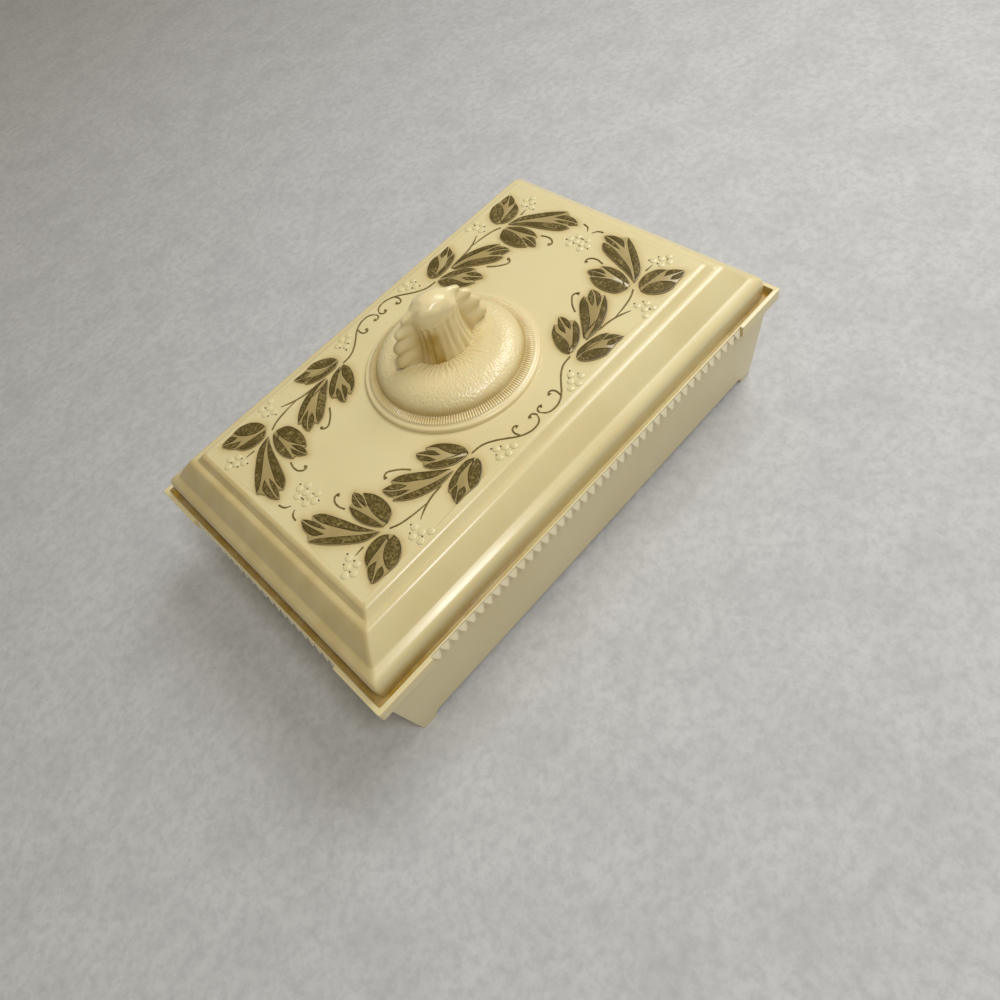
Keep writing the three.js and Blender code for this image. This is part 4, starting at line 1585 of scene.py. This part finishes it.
class MakeFixings(bpy.types.Operator):
    """Models the brass screw and washer inside the lid"""

    bl_idname = "trinket_box.make_fixings"
    bl_label = "Screw and washer"

    def execute(self, context):
        sizes = context.scene.fixing_sizes
        material = brass_material(context.scene.box_colours)
        screw = turned_piece("slotted_screw", screw_path(sizes), SCREW_FACETS)
        deselect()
        bpy.ops.mesh.primitive_cube_add(size=1, location=(0, 0, SCREW_LOW.z))
        slot = bpy.context.object
        slot.scale = (4 * (SCREW_HIGH.x - SCREW_LOW.x), sizes.slot_width, 2 * sizes.slot_depth)
        settle()
        cut(screw, slot)
        smooth(screw)
        finish_piece(screw, "lid", "brass_hardware", material, "finial_screw")
        rim, edge = (WASHER_HIGH.x - WASHER_LOW.x) / 2 / MM, millimetre(sizes.edge)
        low, high = WASHER_LOW.z / MM, WASHER_HIGH.z / MM
        path = [(rim - edge, low), (rim, low + edge), (rim, high - edge), (rim - edge, high)]
        washer = turned_piece("brass_washer", path, WASHER_FACETS)
        drill(washer, context.scene.lid_sizes.hole, 4 * (high - low) * MM, low * MM)
        smooth(washer)
        finish_piece(washer, "lid", "brass_hardware", material, "finial_washer")
        return {"FINISHED"}


def floor_material(settings):
    """Pale table with a faint cloudy mottle."""
    material, make, shader = new_material("Pale table")
    place = make.place()
    clouds = make.noise(place, scale=46, detail=8.0, roughness=0.78)
    clouds = make.spread(clouds, 0.38, 0.68, 0.0, 0.5)
    grain = make.noise(place, scale=330, detail=5.0, roughness=0.75)
    grain = make.spread(grain, 0.38, 0.68, 0.0, 0.6)
    pale = settings.floor
    darker = [value * FLOOR_MOTTLE for value in pale]
    tone = make.mix(clouds, opaque(pale), opaque(darker))
    make.feed(shader.inputs["Base Color"], make.mix(grain, tone, opaque(darker)))
    shader.inputs["Roughness"].default_value = 0.85
    shader.inputs["Specular IOR Level"].default_value = 0.2
    return material


def area_lamp(name, place, target, size, power):
    """Soft square lamp that faces a point."""
    deselect()
    bpy.ops.object.light_add(type="AREA", location=place)
    lamp = bpy.context.object
    call(lamp, name)
    lamp.data.size = size
    lamp.data.energy = power
    lamp.rotation_euler = (Vector(target) - Vector(place)).to_track_quat("-Z", "Y").to_euler()


class MakeStage(bpy.types.Operator):
    """Sets the pale table, the soft light and the camera"""

    bl_idname = "trinket_box.make_stage"
    bl_label = "Stage"

    def execute(self, context):
        scene, settings = context.scene, context.scene.stage_settings
        deselect()
        bpy.ops.mesh.primitive_plane_add(size=settings.floor_size, location=(0, 0, 0))
        floor = bpy.context.object
        call(floor, "table")
        floor.data.materials.append(floor_material(settings))
        world = bpy.data.worlds.new("Even light")
        world.use_nodes = True
        sky = world.node_tree.nodes["Background"]
        sky.inputs["Color"].default_value = opaque(settings.sky_colour)
        sky.inputs["Strength"].default_value = settings.sky_strength
        scene.world = world
        target = settings.lamp_target
        for name, place, size, power in (
            ("window_lamp", settings.window_place, settings.window_size, settings.window_power),
            ("strip_lamp", settings.strip_place, settings.strip_size, settings.strip_power),
        ):
            area_lamp(name, place, target, size, power)
        deselect()
        bpy.ops.object.camera_add(location=settings.camera_place)
        camera = bpy.context.object
        call(camera, "camera")
        camera.data.sensor_width = settings.camera_sensor
        camera.data.lens = settings.camera_lens
        camera.data.clip_start = 10 * MM
        gaze = Vector(settings.camera_target) - Vector(settings.camera_place)
        camera.rotation_mode = "QUATERNION"
        level = gaze.to_track_quat("-Z", "Y")
        camera.rotation_quaternion = level @ Quaternion((0, 0, 1), settings.camera_roll)
        scene.camera = camera
        scene.view_settings.view_transform = "Standard"
        return {"FINISHED"}


GROUPS = {
    "tray_sizes": TraySizes,
    "lid_sizes": LidSizes,
    "ornament_sizes": OrnamentSizes,
    "finial_sizes": FinialSizes,
    "fixing_sizes": FixingSizes,
    "box_colours": BoxColours,
    "stage_settings": StageSettings,
}
MAKERS = (MakeTray, MakeLid, MakeLeaves, MakeStems, MakeBerries, MakeFinial, MakeFixings, MakeStage)


class TrinketBoxPanel(bpy.types.Panel):
    """Lists the pieces of the box and the values that shape them"""

    bl_idname = "VIEW3D_PT_trinket_box"
    bl_label = "Trinket Box"
    bl_space_type = "VIEW_3D"
    bl_region_type = "UI"
    bl_category = "Trinket Box"

    def draw(self, context):
        for maker in MAKERS:
            self.layout.operator(maker.bl_idname)
        for name, group in GROUPS.items():
            column = self.layout.box().column()
            column.label(text=name.replace("_", " ").capitalize())
            for value in group.__annotations__:
                column.prop(getattr(context.scene, name), value)


CLASSES = (*GROUPS.values(), *MAKERS, TrinketBoxPanel)


def register():
    for cls in CLASSES:
        bpy.utils.register_class(cls)
    for name, group in GROUPS.items():
        setattr(bpy.types.Scene, name, PointerProperty(type=group))


def unregister():
    for name in GROUPS:
        delattr(bpy.types.Scene, name)
    for cls in reversed(CLASSES):
        bpy.utils.unregister_class(cls)


def main():
    register()
    bpy.ops.trinket_box.make_tray()
    bpy.ops.trinket_box.make_lid()
    bpy.ops.trinket_box.make_leaves()
    bpy.ops.trinket_box.make_stems()
    bpy.ops.trinket_box.make_berries()
    bpy.ops.trinket_box.make_finial()
    bpy.ops.trinket_box.make_fixings()
    bpy.ops.trinket_box.make_stage()


if __name__ == "__main__":
    main()
